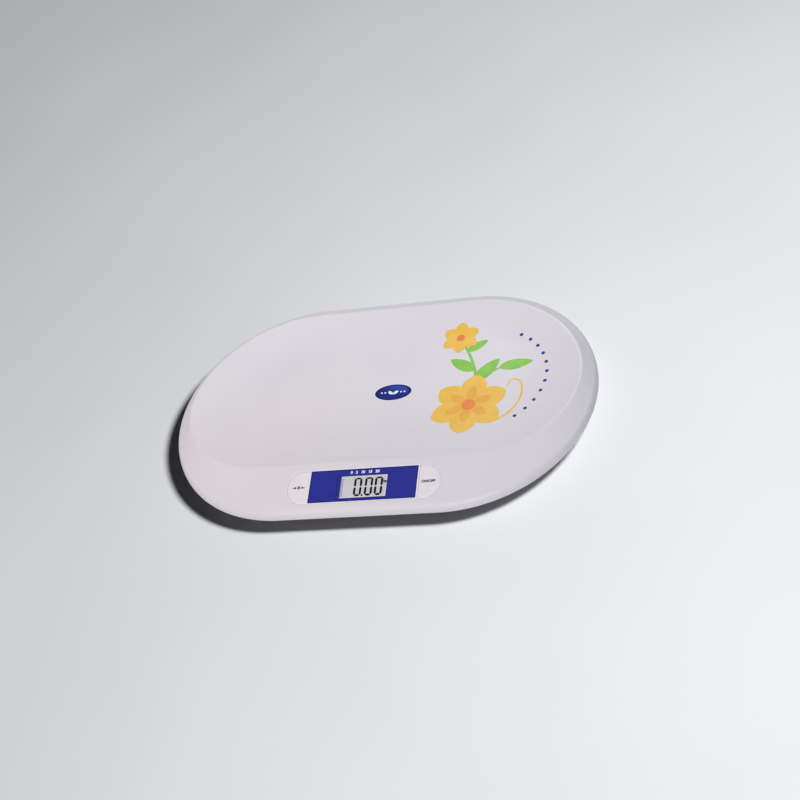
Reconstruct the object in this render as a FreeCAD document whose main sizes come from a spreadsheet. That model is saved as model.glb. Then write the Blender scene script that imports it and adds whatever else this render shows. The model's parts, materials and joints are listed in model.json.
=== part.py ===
import FreeCAD, Part
import math
import os
import Sketcher
from FreeCAD import Placement, Rotation, Vector

# Digital baby weighing scale: a shallow oval tray over a bowl shaped cover, a sloping display strip
# at the front and four sprung load-cell feet.  Millimetres, +Z up, the table at Z = 0, the parent
# stands on the -Y side where the display is.

OUT = "parts"

DIMENSIONS = (
    # Plan outlines: two end arcs, two tighter blend arcs and two straight lines.
    ("blend_start", 23.2),
    ("rim_centre", 100.0),
    ("rim_radius", 175.0),
    ("crest_inset", 22.0),
    ("crest_shift", 7.0),
    ("crest_side", 33.0),
    ("floor_inset", 125.0),
    ("floor_shift", 20.0),
    ("floor_side", 6.0),
    # Tray heights and walls.
    ("crest_height", 50.0),
    ("rim_height", 37.0),
    ("skirt_height", 28.5),
    ("floor_height", 38.0),
    ("tray_wall", 2.6),
    ("crest_round", 5.0),
    ("rim_round", 9.5),
    ("post_trim", 0.5),
    # Bottom cover.
    ("cover_bottom", 10.0),
    ("cover_floor", 2.4),
    ("cover_wall", 2.4),
    ("cover_slope_wall", 3.2),
    ("cover_base_inset", 34.0),
    ("cover_bend", 30.0),
    ("cover_rim_gap", 0.4),
    ("rib_half", 1.0),
    ("rib_high", 8.0),
    # Feet, their wells and the load cells.
    ("foot_x", 150.0),
    ("foot_y", 75.0),
    ("well_width", 43.5),
    ("well_wall", 2.4),
    ("well_roof_low", 18.6),
    ("well_roof_high", 21.0),
    ("cup_width", 41.0),
    ("cup_corner", 8.0),
    ("cup_low", 1.5),
    ("cup_high", 18.0),
    ("cup_floor_high", 4.0),
    ("cup_hollow", 26.0),
    ("pad_radius", 15.0),
    ("pad_height", 2.5),
    ("pad_gap", 0.2),
    ("cell_width", 34.0),
    ("cell_low", 13.5),
    ("cell_thick", 2.6),
    ("cell_gap", 0.3),
    ("cell_slot_reach", 12.5),
    ("cell_slot_width", 2.5),
    ("cell_corner", 2.0),
    ("pad_edge", 0.8),
    ("foot_travel", 0.5),
    ("lip_half", 5.0),
    ("lip_reach", 16.0),
    ("gauge_offset", 11.0),
    ("gauge_length", 9.0),
    ("gauge_width", 5.0),
    ("gauge_high", 1.2),
    ("post_radius", 6.0),
    # Screws.
    ("screw_hole", 3.0),
    ("screw_radius", 1.45),
    ("screw_head_radius", 2.9),
    ("screw_head_high", 1.8),
    ("screw_head_gap", 0.4),
    ("screw_fit", 0.1),
    ("cross_reach", 1.7),
    ("cross_half", 0.4),
    ("cross_deep", 1.0),
    ("cell_screw_length", 6.3),
    ("cover_screw_length", 12.5),
    ("boss_radius", 4.0),
    ("cover_boss_radius", 5.0),
    ("cover_boss_high", 20.0),
    ("screw_seat", 17.6),
    ("pilot_depth", 12.0),
    ("screw_side_inset", 60.0),
    ("screw_mid_x", 75.0),
    ("screw_back_inset", 57.0),
    ("screw_front_inset", 95.0),
    # Display strip, in its own frame: x across, y up the slope, z out of the slope.
    ("strip_inset", 36.0),
    ("strip_x", 5.5),
    ("strip_half", 98.0),
    ("strip_radius", 22.75),
    ("strip_proud", 0.4),
    ("strip_seat", 1.2),
    ("strip_gap", 0.3),
    ("strip_seat_low", 2.8),
    ("strip_ledge", 1.05),
    ("seat_grow", 3.0),
    ("label_gap", 2.4),
    ("label_border", 1.25),
    ("label_thick", 0.3),
    ("window_x", -0.5),
    ("window_y", -2.5),
    ("window_half", 30.75),
    ("window_high", 14.5),
    ("window_gap", 0.15),
    ("window_sunk", 0.1),
    ("window_low", 0.9),
    ("window_ledge", 2.0),
    ("catch_x", 46.0),
    ("catch_half", 3.0),
    ("catch_thick", 1.3),
    ("catch_gap", 0.2),
    ("catch_reach", 0.9),
    ("catch_drop", 1.4),
    ("key_width", 27.6),
    ("key_rim", 1.4),
    ("key_gap", 0.35),
    ("key_low", 1.1),
    ("key_middle", 12.6),
    ("key_leg", 1.4),
    ("key_hook", 1.2),
    ("key_inner_half", 8.0),
    ("plunger_sunk", 2.5),
    ("stem_radius", 2.5),
    ("plunger_radius", 1.75),
    ("plunger_gap", 0.2),
    ("plunger_top", 2.7),
    ("switch_half", 3.0),
    ("switch_top", 3.5),
    ("board_top", 7.0),
    ("board_thick", 1.6),
    ("board_inset", 6.0),
    ("board_front", 20.0),
    ("board_back", 18.0),
    ("peg_inset", 14.0),
    ("peg_y", 15.0),
    ("peg_radius", 2.5),
    ("small_screw", 1.0),
    ("small_head", 2.0),
    ("small_head_high", 1.2),
    ("small_slot", 0.25),
    ("small_slot_deep", 0.6),
    ("small_bite", 4.0),
    ("chip_x", 14.0),
    ("chip_radius", 7.0),
    ("chip_high", 1.5),
    ("chip_edge", 1.2),
    ("can_first_x", 14.0),
    ("can_second_x", 24.0),
    ("can_front", 8.0),
    ("can_third_x", 34.0),
    ("can_back", 6.0),
    ("can_radius", 2.5),
    ("can_high", 5.0),
    ("quartz_left", 4.0),
    ("quartz_front", 3.0),
    ("quartz_wide", 3.0),
    ("quartz_long", 8.0),
    ("quartz_high", 2.5),
    ("quartz_edge", 1.3),
    ("glass_half", 33.0),
    ("glass_high", 16.25),
    ("glass_thick", 2.2),
    ("glass_gap", 0.15),
    ("frame_half", 36.0),
    ("frame_high", 18.0),
    ("zebra_half", 31.0),
    ("zebra_width", 2.2),
    ("zebra_reach", 14.6),
    # Battery bay, door and cells.
    ("bay_y", 45.0),
    ("bay_half", 26.0),
    ("bay_width", 12.5),
    ("bay_roof", 24.0),
    ("bay_wall", 2.2),
    ("bay_side", 2.5),
    ("bay_flank", 2.8),
    ("door_half", 30.0),
    ("door_width", 14.2),
    ("door_thick", 2.6),
    ("door_gap", 0.3),
    ("door_travel", 9.0),
    ("tongue_reach", 1.5),
    ("tongue_thick", 1.1),
    ("lip_thick", 1.2),
    ("tongue_length", 8.0),
    ("tongue_left", -28.0),
    ("tongue_right", 8.0),
    ("tongue_gap", 0.5),
    ("grip_left", -24.0),
    ("grip_pitch", 4.0),
    ("grip_width", 1.5),
    ("grip_half", 8.0),
    ("grip_deep", 0.6),
    ("battery_radius", 5.25),
    ("battery_length", 44.5),
    ("battery_nub", 0.8),
    ("battery_nub_radius", 1.9),
    ("battery_pitch", 5.7),
    ("plate_thick", 0.4),
    ("plate_half", 4.5),
    ("plate_low", 13.8),
    ("tab_half", 2.0),
    ("tab_high", 29.0),
    ("tab_gap", 0.2),
    ("spring_radius", 3.4),
    ("spring_wire", 0.35),
    ("spring_turns", 4.0),
    # Leads, badge.
    ("lead_radius", 0.6),
    ("lead_hole", 2.0),
    ("lead_low", 27.0),
    ("lead_middle", 29.0),
    ("lead_high", 31.0),
    ("lead_turn", 33.0),
    ("lead_end", 13.0),
    ("lead_peg_gap", 10.0),
    ("lead_step", 14.0),
    ("lead_pass_front", 21.25),
    ("lead_pass_side", 21.0),
    ("lead_pair", 8.0),
    ("badge_x", 15.7),
    ("badge_y", 12.6),
    ("badge_half", 25.5),
    ("badge_high", 14.0),
    ("badge_margin", 2.6),
    ("badge_thick", 0.5),
)


class Size:
    """A length that knows its value and the spreadsheet expression it comes from."""

    def __init__(self, value, text):
        self.value = float(value)
        self.text = text

    def __add__(self, other):
        other = size(other)
        return Size(self.value + other.value, "(%s + %s)" % (self.text, other.text))

    def __sub__(self, other):
        other = size(other)
        return Size(self.value - other.value, "(%s - %s)" % (self.text, other.text))

    def __mul__(self, other):
        other = size(other)
        return Size(self.value * other.value, "(%s * %s)" % (self.text, other.text))

    def __truediv__(self, other):
        other = size(other)
        return Size(self.value / other.value, "(%s / %s)" % (self.text, other.text))

    def __neg__(self):
        return Size(-self.value, "(0 - %s)" % self.text)


def size(value):
    """Return value as a Size, so plain numbers mix with named ones."""
    if isinstance(value, Size):
        return value
    return Size(value, repr(float(value)))


def make_sheet(document):
    """Write the driving dimensions into a spreadsheet and return them by name."""
    sheet = document.addObject("Spreadsheet::Sheet", "Dims")
    named = {}
    for row, (name, value) in enumerate(DIMENSIONS, 1):
        sheet.set("A%d" % row, name)
        sheet.set("B%d" % row, str(value))
        sheet.setAlias("B%d" % row, name)
        named[name] = Size(value, "Dims." + name)
    document.recompute()
    return named


doc = FreeCAD.newDocument("baby_scale")
D = make_sheet(doc)
ZERO = size(0)
PARTS = []

# How far a pad runs into the solid it joins, and how far a cut starts before or runs past its solid.
JOIN = size(0.2)
EARLY = size(0.5)
PAST = size(1.0)

# Slope of the deck between the rim and the crest line, from the outlines themselves.
BLEND_TURN = math.radians(D["blend_start"].value)
BLEND_SINE = Size(math.sin(BLEND_TURN), "sin(Dims.blend_start * 1 deg)")
CREST_RADIUS = D["rim_radius"] - D["crest_inset"]
CREST_BLEND = CREST_RADIUS - D["crest_side"]
CREST_CENTRE = D["rim_centre"] + D["crest_shift"]
CREST_FRONT = CREST_BLEND - D["crest_side"] * BLEND_SINE
FLOOR_RADIUS = D["rim_radius"] - D["floor_inset"]
DECK_RISE = D["crest_height"] - D["rim_height"]
DECK_SLOPE = DECK_RISE / (D["rim_radius"] - CREST_FRONT)
DECK_ANGLE = Size(math.degrees(math.atan(DECK_SLOPE.value)), "atan(%s)" % DECK_SLOPE.text)
DECK_COS = Size(math.cos(math.radians(DECK_ANGLE.value)), "cos(%s)" % DECK_ANGLE.text)
DECK_SIN = Size(math.sin(math.radians(DECK_ANGLE.value)), "sin(%s)" % DECK_ANGLE.text)
STRIP_Y = D["strip_inset"] - D["rim_radius"]
STRIP_Z = D["rim_height"] + D["strip_inset"] * DECK_SLOPE
KEY_START = D["strip_half"] - D["key_width"]
KEY_X = KEY_START + D["key_middle"]
LABEL_HALF = KEY_START - D["label_gap"]
LABEL_HIGH = D["strip_radius"] - D["label_border"]
BOARD_HALF = D["strip_half"] - D["board_inset"]
PEG_X = LABEL_HALF - D["peg_inset"]

RIM = (D["rim_centre"], ZERO, D["rim_radius"], D["rim_radius"])
CREST = (CREST_CENTRE, ZERO, CREST_RADIUS, CREST_BLEND)
FLOOR_BLEND = FLOOR_RADIUS - D["floor_side"]
FLOOR_FRONT = D["badge_y"] - D["badge_high"] - D["badge_margin"]
FLOOR = (D["rim_centre"] + D["floor_shift"], FLOOR_FRONT + FLOOR_BLEND, FLOOR_RADIUS, FLOOR_BLEND)

SCREW_SIDE_X = D["rim_centre"] + D["rim_radius"] - D["screw_side_inset"]
SCREW_BACK_Y = D["rim_radius"] - D["screw_back_inset"]
SCREW_FRONT_Y = D["screw_front_inset"] - D["rim_radius"]
SCREW_PLACES = (
    (SCREW_SIDE_X, ZERO),
    (-SCREW_SIDE_X, ZERO),
    (D["screw_mid_x"], SCREW_BACK_Y),
    (-D["screw_mid_x"], SCREW_BACK_Y),
    (D["screw_mid_x"], SCREW_FRONT_Y),
    (-D["screw_mid_x"], SCREW_FRONT_Y),
)
FEET = (
    ("front_left", -D["foot_x"], -D["foot_y"], 1),
    ("front_right", D["foot_x"], -D["foot_y"], 1),
    ("back_left", -D["foot_x"], D["foot_y"], -1),
    ("back_right", D["foot_x"], D["foot_y"], -1),
)


def body(name):
    """Start a sub-part that is named like its node."""
    new = doc.addObject("PartDesign::Body", name)
    new.Label = name
    new.AllowCompound = True
    PARTS.append(new)
    return new


def place(part, x=ZERO, y=ZERO, z=ZERO):
    """Put a sub-part at a point that follows the spreadsheet."""
    x, y, z = size(x), size(y), size(z)
    part.Placement = Placement(Vector(x.value, y.value, z.value), part.Placement.Rotation)
    part.setExpression("Placement.Base.x", x.text)
    part.setExpression("Placement.Base.y", y.text)
    part.setExpression("Placement.Base.z", z.text)


def place_on_strip(part, x=ZERO):
    """Put a sub-part into the frame of the sloping display strip."""
    part.Placement = Placement(Vector(), Rotation(Vector(1, 0, 0), DECK_ANGLE.value))
    part.setExpression("Placement.Rotation.Angle", DECK_ANGLE.text)
    place(part, D["strip_x"] + x, STRIP_Y, STRIP_Z)


def new_sketch(part, name, height, on_strip=False):
    """Add a sketch to a body, level at a height, or parallel to the display strip."""
    height = size(height)
    sketch = part.newObject("Sketcher::SketchObject", name)
    planes = [item for item in part.Origin.OriginFeatures if item.Role == "XY_Plane"]
    sketch.AttachmentSupport = [(planes[0], "")]
    sketch.MapMode = "FlatFace"
    if not on_strip:
        sketch.AttachmentOffset = Placement(Vector(0, 0, height.value), Rotation())
        sketch.setExpression("AttachmentOffset.Base.z", height.text)
        return sketch
    y = STRIP_Y - height * DECK_SIN
    z = STRIP_Z + height * DECK_COS
    turn = Rotation(Vector(1, 0, 0), DECK_ANGLE.value)
    sketch.AttachmentOffset = Placement(Vector(D["strip_x"].value, y.value, z.value), turn)
    sketch.setExpression("AttachmentOffset.Base.x", D["strip_x"].text)
    sketch.setExpression("AttachmentOffset.Base.y", y.text)
    sketch.setExpression("AttachmentOffset.Base.z", z.text)
    sketch.setExpression("AttachmentOffset.Rotation.Angle", DECK_ANGLE.text)
    return sketch


def bind(sketch, constraint, text):
    """Add a constraint and tie its value to an expression."""
    number = sketch.addConstraint(constraint)
    sketch.setExpression("Constraints[%d]" % number, text)


def pin(sketch, geometry, point, x, y):
    """Fix one point of a sketch at named distances from the origin."""
    for kind, value in (("DistanceX", size(x)), ("DistanceY", size(y))):
        if value.value < 0:
            value = -value
            bind(sketch, Sketcher.Constraint(kind, geometry, point, -1, 1, value.value), value.text)
        else:
            bind(sketch, Sketcher.Constraint(kind, -1, 1, geometry, point, value.value), value.text)


def arc(x, y, radius, start, end):
    """Return a circular arc between two angles in radians."""
    return Part.ArcOfCircle(Part.Circle(Vector(x, y, 0), Vector(0, 0, 1), radius), start, end)


def outline(part, name, height, centre, back, end, blend):
    """Sketch the oval: end arcs, tangent blend arcs towards the front, straight back and front."""
    sketch = new_sketch(part, name, height)
    turn = BLEND_TURN
    ex, ey, er, br = centre.value, back.value, end.value, blend.value
    bx = ex + (er - br) * math.cos(turn)
    by = ey + (er - br) * math.sin(turn)
    px = ex + er * math.cos(turn)
    py = ey + er * math.sin(turn)
    half = math.pi / 2
    sketch.addGeometry(
        [
            Part.LineSegment(Vector(ex, ey + er, 0), Vector(-ex, ey + er, 0)),
            arc(-ex, ey, er, half, math.pi - turn),
            arc(-bx, by, br, math.pi - turn, 3 * half),
            Part.LineSegment(Vector(-bx, by - br, 0), Vector(bx, by - br, 0)),
            arc(bx, by, br, 3 * half, 4 * half + turn),
            arc(ex, ey, er, turn, half),
        ],
        False,
    )
    sketch.addGeometry(
        [
            Part.LineSegment(Vector(ex, ey, 0), Vector(px, py, 0)),
            Part.LineSegment(Vector(-ex, ey, 0), Vector(-px, py, 0)),
        ],
        True,
    )
    rule = Sketcher.Constraint
    sketch.addConstraint(
        [
            rule("Tangent", 0, 1, 5, 2),
            rule("Tangent", 0, 2, 1, 1),
            rule("Tangent", 3, 1, 2, 2),
            rule("Tangent", 3, 2, 4, 1),
            rule("Coincident", 6, 1, 5, 3),
            rule("Coincident", 6, 2, 5, 1),
            rule("Coincident", 6, 2, 4, 2),
            rule("PointOnObject", 4, 3, 6),
            rule("Coincident", 7, 1, 1, 3),
            rule("Coincident", 7, 2, 1, 2),
            rule("Coincident", 7, 2, 2, 1),
            rule("PointOnObject", 2, 3, 7),
            rule("Equal", 5, 1),
            rule("Equal", 4, 2),
        ]
    )
    bind(sketch, rule("Angle", 6, turn), "Dims.blend_start * 1 deg")
    bind(sketch, rule("Angle", 7, math.pi - turn), "180 deg - Dims.blend_start * 1 deg")
    bind(sketch, rule("Radius", 5, er), end.text)
    bind(sketch, rule("Radius", 4, br), blend.text)
    pin(sketch, 5, 3, centre, back)
    pin(sketch, 1, 3, -centre, back)
    return sketch


def boxes(part, name, height, places, on_strip=False):
    """Sketch one rectangle for each (left, right, front, back)."""
    sketch = new_sketch(part, name, height, on_strip)
    rule = Sketcher.Constraint
    for count, limits in enumerate(places):
        left, right, front, back = [size(item) for item in limits]
        corners = [
            Vector(left.value, front.value, 0),
            Vector(right.value, front.value, 0),
            Vector(right.value, back.value, 0),
            Vector(left.value, back.value, 0),
        ]
        first = 4 * count
        for side in range(4):
            sketch.addGeometry(Part.LineSegment(corners[side], corners[(side + 1) % 4]), False)
        for side in range(4):
            sketch.addConstraint(rule("Coincident", first + side, 2, first + (side + 1) % 4, 1))
        for side in (0, 2):
            sketch.addConstraint(rule("Horizontal", first + side))
            sketch.addConstraint(rule("Vertical", first + side + 1))
        pin(sketch, first, 1, left, front)
        pin(sketch, first + 2, 1, right, back)
    return sketch


def circles(part, name, height, places, radius, on_strip=False):
    """Sketch equal circles at the given (x, y) places."""
    sketch = new_sketch(part, name, height, on_strip)
    radius = size(radius)
    for count, (x, y) in enumerate(places):
        x, y = size(x), size(y)
        circle = Part.Circle(Vector(x.value, y.value, 0), Vector(0, 0, 1), radius.value)
        sketch.addGeometry(circle, False)
        bind(sketch, Sketcher.Constraint("Radius", count, radius.value), radius.text)
        pin(sketch, count, 3, x, y)
    return sketch


def pill(part, name, height, inset, on_strip=False):
    """Sketch the display strip's outline, moved inwards by inset."""
    sketch = new_sketch(part, name, height, on_strip)
    rule = Sketcher.Constraint
    radius = D["strip_radius"] - inset
    centre = D["strip_half"] - D["strip_radius"]
    c, r = centre.value, radius.value
    half = math.pi / 2
    sketch.addGeometry(
        [
            Part.LineSegment(Vector(c, r, 0), Vector(-c, r, 0)),
            arc(-c, 0, r, half, 3 * half),
            Part.LineSegment(Vector(-c, -r, 0), Vector(c, -r, 0)),
            arc(c, 0, r, -half, half),
        ],
        False,
    )
    sketch.addConstraint(
        [
            rule("Tangent", 0, 2, 1, 1),
            rule("Tangent", 1, 2, 2, 1),
            rule("Tangent", 2, 2, 3, 1),
            rule("Tangent", 3, 2, 0, 1),
            rule("Equal", 1, 3),
            rule("PointOnObject", 3, 3, -1),
        ]
    )
    bind(sketch, rule("Radius", 3, r), radius.text)
    bind(sketch, rule("DistanceX", -1, 1, 3, 3, c), centre.text)
    bind(sketch, rule("DistanceX", 1, 3, -1, 1, c), centre.text)
    return sketch


def key_shape(part, name, height, side, grow):
    """Sketch a D: straight towards the middle of the strip, round at its end."""
    sketch = new_sketch(part, name, height)
    rule = Sketcher.Constraint
    radius = D["strip_radius"] - D["key_rim"] + grow
    centre = D["strip_half"] - D["strip_radius"]
    start = KEY_START - grow
    c, r, s = centre.value * side, radius.value, start.value * side
    half = math.pi / 2
    turn = 0 if side > 0 else math.pi
    sketch.addGeometry(
        [
            Part.LineSegment(Vector(s, -r * side, 0), Vector(c, -r * side, 0)),
            arc(c, 0, r, turn - half, turn + half),
            Part.LineSegment(Vector(c, r * side, 0), Vector(s, r * side, 0)),
            Part.LineSegment(Vector(s, r * side, 0), Vector(s, -r * side, 0)),
        ],
        False,
    )
    sketch.addConstraint(
        [
            rule("Tangent", 0, 2, 1, 1),
            rule("Tangent", 1, 2, 2, 1),
            rule("Coincident", 2, 2, 3, 1),
            rule("Coincident", 3, 2, 0, 1),
            rule("Vertical", 3),
            rule("Horizontal", 0),
        ]
    )
    bind(sketch, rule("Radius", 1, r), radius.text)
    pin(sketch, 1, 3, centre * side, ZERO)
    if side > 0:
        bind(sketch, rule("DistanceX", -1, 1, 3, 1, s), start.text)
    else:
        bind(sketch, rule("DistanceX", 3, 1, -1, 1, -s), start.text)
    return sketch


def pad(part, sketch, length):
    """Raise a sketch upwards by a length."""
    length = size(length)
    feature = part.newObject("PartDesign::Pad", sketch.Name + "_pad")
    feature.Profile = sketch
    feature.Length = length.value
    feature.setExpression("Length", length.text)
    return feature


def cut(part, sketch, length):
    """Cut a sketch upwards by a length."""
    length = size(length)
    feature = part.newObject("PartDesign::Pocket", sketch.Name + "_cut")
    feature.Profile = sketch
    feature.Length = length.value
    feature.setExpression("Length", length.text)
    feature.Reversed = True
    return feature


def loft(part, name, kind, sketches, ruled):
    """Join outlines that lie above one another, adding or removing material."""
    feature = part.newObject("PartDesign::" + kind, name)
    feature.Profile = sketches[0]
    feature.Sections = sketches[1:]
    feature.Ruled = ruled
    return feature


def mix(first, last, share):
    """Blend two outlines size by size."""
    return [a + (b - a) * share for a, b in zip(first, last)]


def dish(part, name, kind, drop):
    """Loft the tray's hollow from the crest line to the flat floor, lowered by drop."""
    sketches = []
    depth = D["crest_height"] - D["floor_height"]
    for step in range(5):
        share = step / 4.0
        height = D["floor_height"] - drop + depth * (1.0 - share) ** 2
        sketches.append(outline(part, "%s_%d" % (name, step), height, *mix(CREST, FLOOR, share)))
    return loft(part, name, kind, sketches, False)


def level_edges(shape, height):
    """Name the edges that lie at one height."""
    names = []
    for number, edge in enumerate(shape.Edges, 1):
        reach = edge.LastParameter - edge.FirstParameter
        points = [edge.valueAt(edge.FirstParameter + reach * step / 4.0) for step in range(5)]
        if all(abs(point.z - height) < 0.01 for point in points):
            names.append("Edge%d" % number)
    return names


def upright_edges(shape):
    """Name the straight vertical edges."""
    names = []
    for number, edge in enumerate(shape.Edges, 1):
        first, last = edge.valueAt(edge.FirstParameter), edge.valueAt(edge.LastParameter)
        if abs(first.x - last.x) + abs(first.y - last.y) < 1e-6 and abs(first.z - last.z) > 1e-3:
            names.append("Edge%d" % number)
    return names


def round_last(part, name, finder, radius):
    """Round the edges a finder picks on the body's present shape."""
    doc.recompute()
    base = part.Tip
    feature = part.newObject("PartDesign::Fillet", name)
    feature.Base = (base, finder(base.Shape))
    feature.Radius = radius.value
    feature.setExpression("Radius", radius.text)
    doc.recompute()
    return feature


def build_tray():
    """The moulded tray: skirt, shoulder, sloping deck, raised crest line and shallow dish."""
    part = body("tray_shell")
    wall = D["tray_wall"]
    pad(part, outline(part, "skirt", D["skirt_height"], *RIM), D["rim_height"] - D["skirt_height"])
    low = outline(part, "shoulder", D["rim_height"], *RIM)
    high = outline(part, "crest", D["crest_height"], *CREST)
    loft(part, "deck", "AdditiveLoft", [low, high], True)
    inside = (D["rim_centre"], ZERO, D["rim_radius"] - wall, D["rim_radius"] - wall)
    low_height = D["rim_height"] - wall * 0.5
    cut(part, outline(part, "inside", D["skirt_height"], *inside), low_height - D["skirt_height"])
    low = outline(part, "inside_low", low_height, *inside)
    under = (CREST_CENTRE, ZERO, CREST_RADIUS + wall * 0.1, CREST_BLEND + wall * 0.1)
    high = outline(part, "inside_high", D["crest_height"] - wall * 1.1, *under)
    loft(part, "deck_inside", "SubtractiveLoft", [low, high], True)
    dish(part, "belly", "AdditiveLoft", wall)
    trim = D["crest_height"] - D["post_trim"]
    posts = [(x, y) for _, x, y, _ in FEET]
    foot = D["well_roof_high"]
    pad(part, circles(part, "posts", foot, posts, D["post_radius"]), trim - foot)
    boss = D["cover_boss_high"]
    pad(part, circles(part, "bosses", boss, SCREW_PLACES, D["boss_radius"]), trim - boss)
    dish(part, "hollow", "SubtractiveLoft", ZERO)
    round_last(part, "crest_edge", lambda s: level_edges(s, D["crest_height"].value), D["crest_round"])
    round_last(part, "rim_edge", lambda s: level_edges(s, D["rim_height"].value), D["rim_round"])
    seat = pill(part, "seat", -D["strip_seat_low"], -D["seat_grow"], True)
    pad(part, seat, D["strip_seat_low"] - D["strip_seat"] + JOIN)
    recess = pill(part, "recess", -D["strip_seat"], -D["strip_gap"], True)
    cut(part, recess, D["strip_seat"] + PAST * 4.0)
    opening = pill(part, "opening", -D["strip_seat_low"] - PAST * 2.0, D["strip_ledge"], True)
    cut(part, opening, D["strip_seat_low"] + PAST * 6.0)
    pilots = circles(part, "pilots", boss, SCREW_PLACES, D["screw_hole"] / 2.0)
    cut(part, pilots, D["pilot_depth"])
    return part


def cover_sections(part, name, kind, low, base, top):
    """Loft the cover's bowl between its flat bottom and the bend below the rim."""
    sketches = []
    for step in range(5):
        share = step / 4.0
        height = low + (D["cover_bend"] - low) * share ** 1.25
        radius = base + (top - base) * share
        args = (D["rim_centre"], ZERO, radius, radius)
        sketches.append(outline(part, "%s_%d" % (name, step), height, *args))
    return loft(part, name, kind, sketches, False)


def square(x, y, width):
    """Return the limits of a square about a point."""
    half = width / 2.0
    return (x - half, x + half, y - half, y + half)


def build_cover():
    """The bottom cover: bowl, foot wells, screw bosses, ribs and the battery bay."""
    part = body("bottom_cover")
    low = D["cover_bottom"]
    floor = low + D["cover_floor"]
    outer = D["rim_radius"] - D["tray_wall"] - D["cover_rim_gap"]
    inner = outer - D["cover_wall"]
    rim_top = D["rim_height"] - D["tray_wall"] * 0.5 - D["cover_rim_gap"]
    base = D["rim_radius"] - D["cover_base_inset"]
    cover_sections(part, "bowl", "AdditiveLoft", low, base, outer)
    band = outline(part, "band", D["cover_bend"], D["rim_centre"], ZERO, outer, outer)
    pad(part, band, rim_top - D["cover_bend"])
    base_inner = base + D["cover_floor"] * 2.37 - D["cover_slope_wall"]
    cover_sections(part, "bowl_inside", "SubtractiveLoft", floor, base_inner, inner)
    mouth = outline(part, "mouth", D["cover_bend"], D["rim_centre"], ZERO, inner, inner)
    cut(part, mouth, rim_top - D["cover_bend"] + PAST)
    wells = [square(x, y, D["well_width"] + D["well_wall"] * 2.0) for _, x, y, _ in FEET]
    pad(part, boxes(part, "wells", low, wells), D["well_roof_high"] - low)
    rib_end = D["foot_x"] - D["well_width"] / 2.0
    for name, y in (("rib_back", D["foot_y"]), ("rib_front", -D["foot_y"])):
        limits = (-rib_end, rib_end, y - D["rib_half"], y + D["rib_half"])
        pad(part, boxes(part, name, low, [limits]), D["rib_high"])
    block = (
        -D["door_half"] - D["door_gap"] - D["bay_side"],
        D["door_half"] + D["door_gap"] + D["door_travel"] + D["bay_side"],
        D["bay_y"] - D["door_width"] - D["tongue_reach"] - D["bay_flank"],
        D["bay_y"] + D["door_width"] + D["tongue_reach"] + D["bay_flank"],
    )
    pad(part, boxes(part, "bay_block", low, [block]), D["bay_roof"] + D["bay_wall"] - low)
    bosses = circles(part, "screw_bosses", low, SCREW_PLACES, D["cover_boss_radius"])
    pad(part, bosses, D["cover_boss_high"] - low)
    pockets = [square(x, y, D["well_width"]) for _, x, y, _ in FEET]
    cut(part, boxes(part, "well_pockets", low, pockets), D["well_roof_low"] - low)
    centres = [(x, y) for _, x, y, _ in FEET]
    cell_high = D["cell_low"] + D["cell_thick"]
    seats = circles(part, "cell_seats", cell_high, centres, D["post_radius"])
    pad(part, seats, D["well_roof_low"] - cell_high + JOIN)
    threads = circles(part, "cell_threads", cell_high, centres, D["screw_hole"] / 2.0)
    cut(part, threads, D["well_roof_high"] - cell_high - JOIN * 3.0)
    lead_places = [(x, y + D["gauge_offset"] * turn) for _, x, y, turn in FEET]
    holes = circles(part, "lead_holes", D["well_roof_low"] - EARLY, lead_places, D["lead_hole"])
    cut(part, holes, D["well_roof_high"] - D["well_roof_low"] + PAST)
    well = D["screw_head_radius"] + D["screw_head_gap"]
    heads = circles(part, "head_wells", low, SCREW_PLACES, well)
    cut(part, heads, D["screw_seat"] - low)
    clear = D["screw_hole"] / 2.0 + D["screw_fit"]
    through = circles(part, "screw_holes", low, SCREW_PLACES, clear)
    cut(part, through, D["cover_boss_high"] - low + PAST)
    cut_bay(part)
    return part


def cut_bay(part):
    """Hollow the battery bay: door recess, tongue grooves with gaps to lift out, cell space, slots."""
    low = D["cover_bottom"]
    y = D["bay_y"]
    left = -D["door_half"] - D["door_gap"]
    right = D["door_half"] + D["door_gap"] + D["door_travel"]
    narrow = D["door_width"] + D["door_gap"]
    wide = narrow + D["tongue_reach"]
    deep = D["door_thick"] + D["door_gap"] + 0.1
    cut(part, boxes(part, "door_recess", low, [(left, right, y - narrow, y + narrow)]), deep)
    groove = boxes(part, "door_groove", low + D["lip_thick"], [(left, right, y - wide, y + wide)])
    cut(part, groove, deep - D["lip_thick"])
    gaps = []
    for start in (D["tongue_left"], D["tongue_right"]):
        first = start + D["door_travel"] - D["tongue_gap"]
        last = first + D["tongue_length"] + D["tongue_gap"] * 2.0
        gaps.append((first, last, y - wide, y + wide))
    cut(part, boxes(part, "tongue_gaps", low, gaps), deep)
    space = [(-D["bay_half"], D["bay_half"], y - D["bay_width"], y + D["bay_width"])]
    cut(part, boxes(part, "cell_space", low + deep, space), D["bay_roof"] - low - deep)
    slots = []
    for side in (-1, 1):
        middle = y + D["battery_pitch"] * side
        reach = D["tab_half"] + D["tab_gap"]
        edge = D["bay_half"] - D["plate_thick"] - D["tab_gap"]
        slots.append((edge, D["bay_half"] + D["tab_gap"] / 2.0, middle - reach, middle + reach))
    cut(part, boxes(part, "tab_slots", D["bay_roof"] - EARLY, slots), D["bay_wall"] + PAST)


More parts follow.
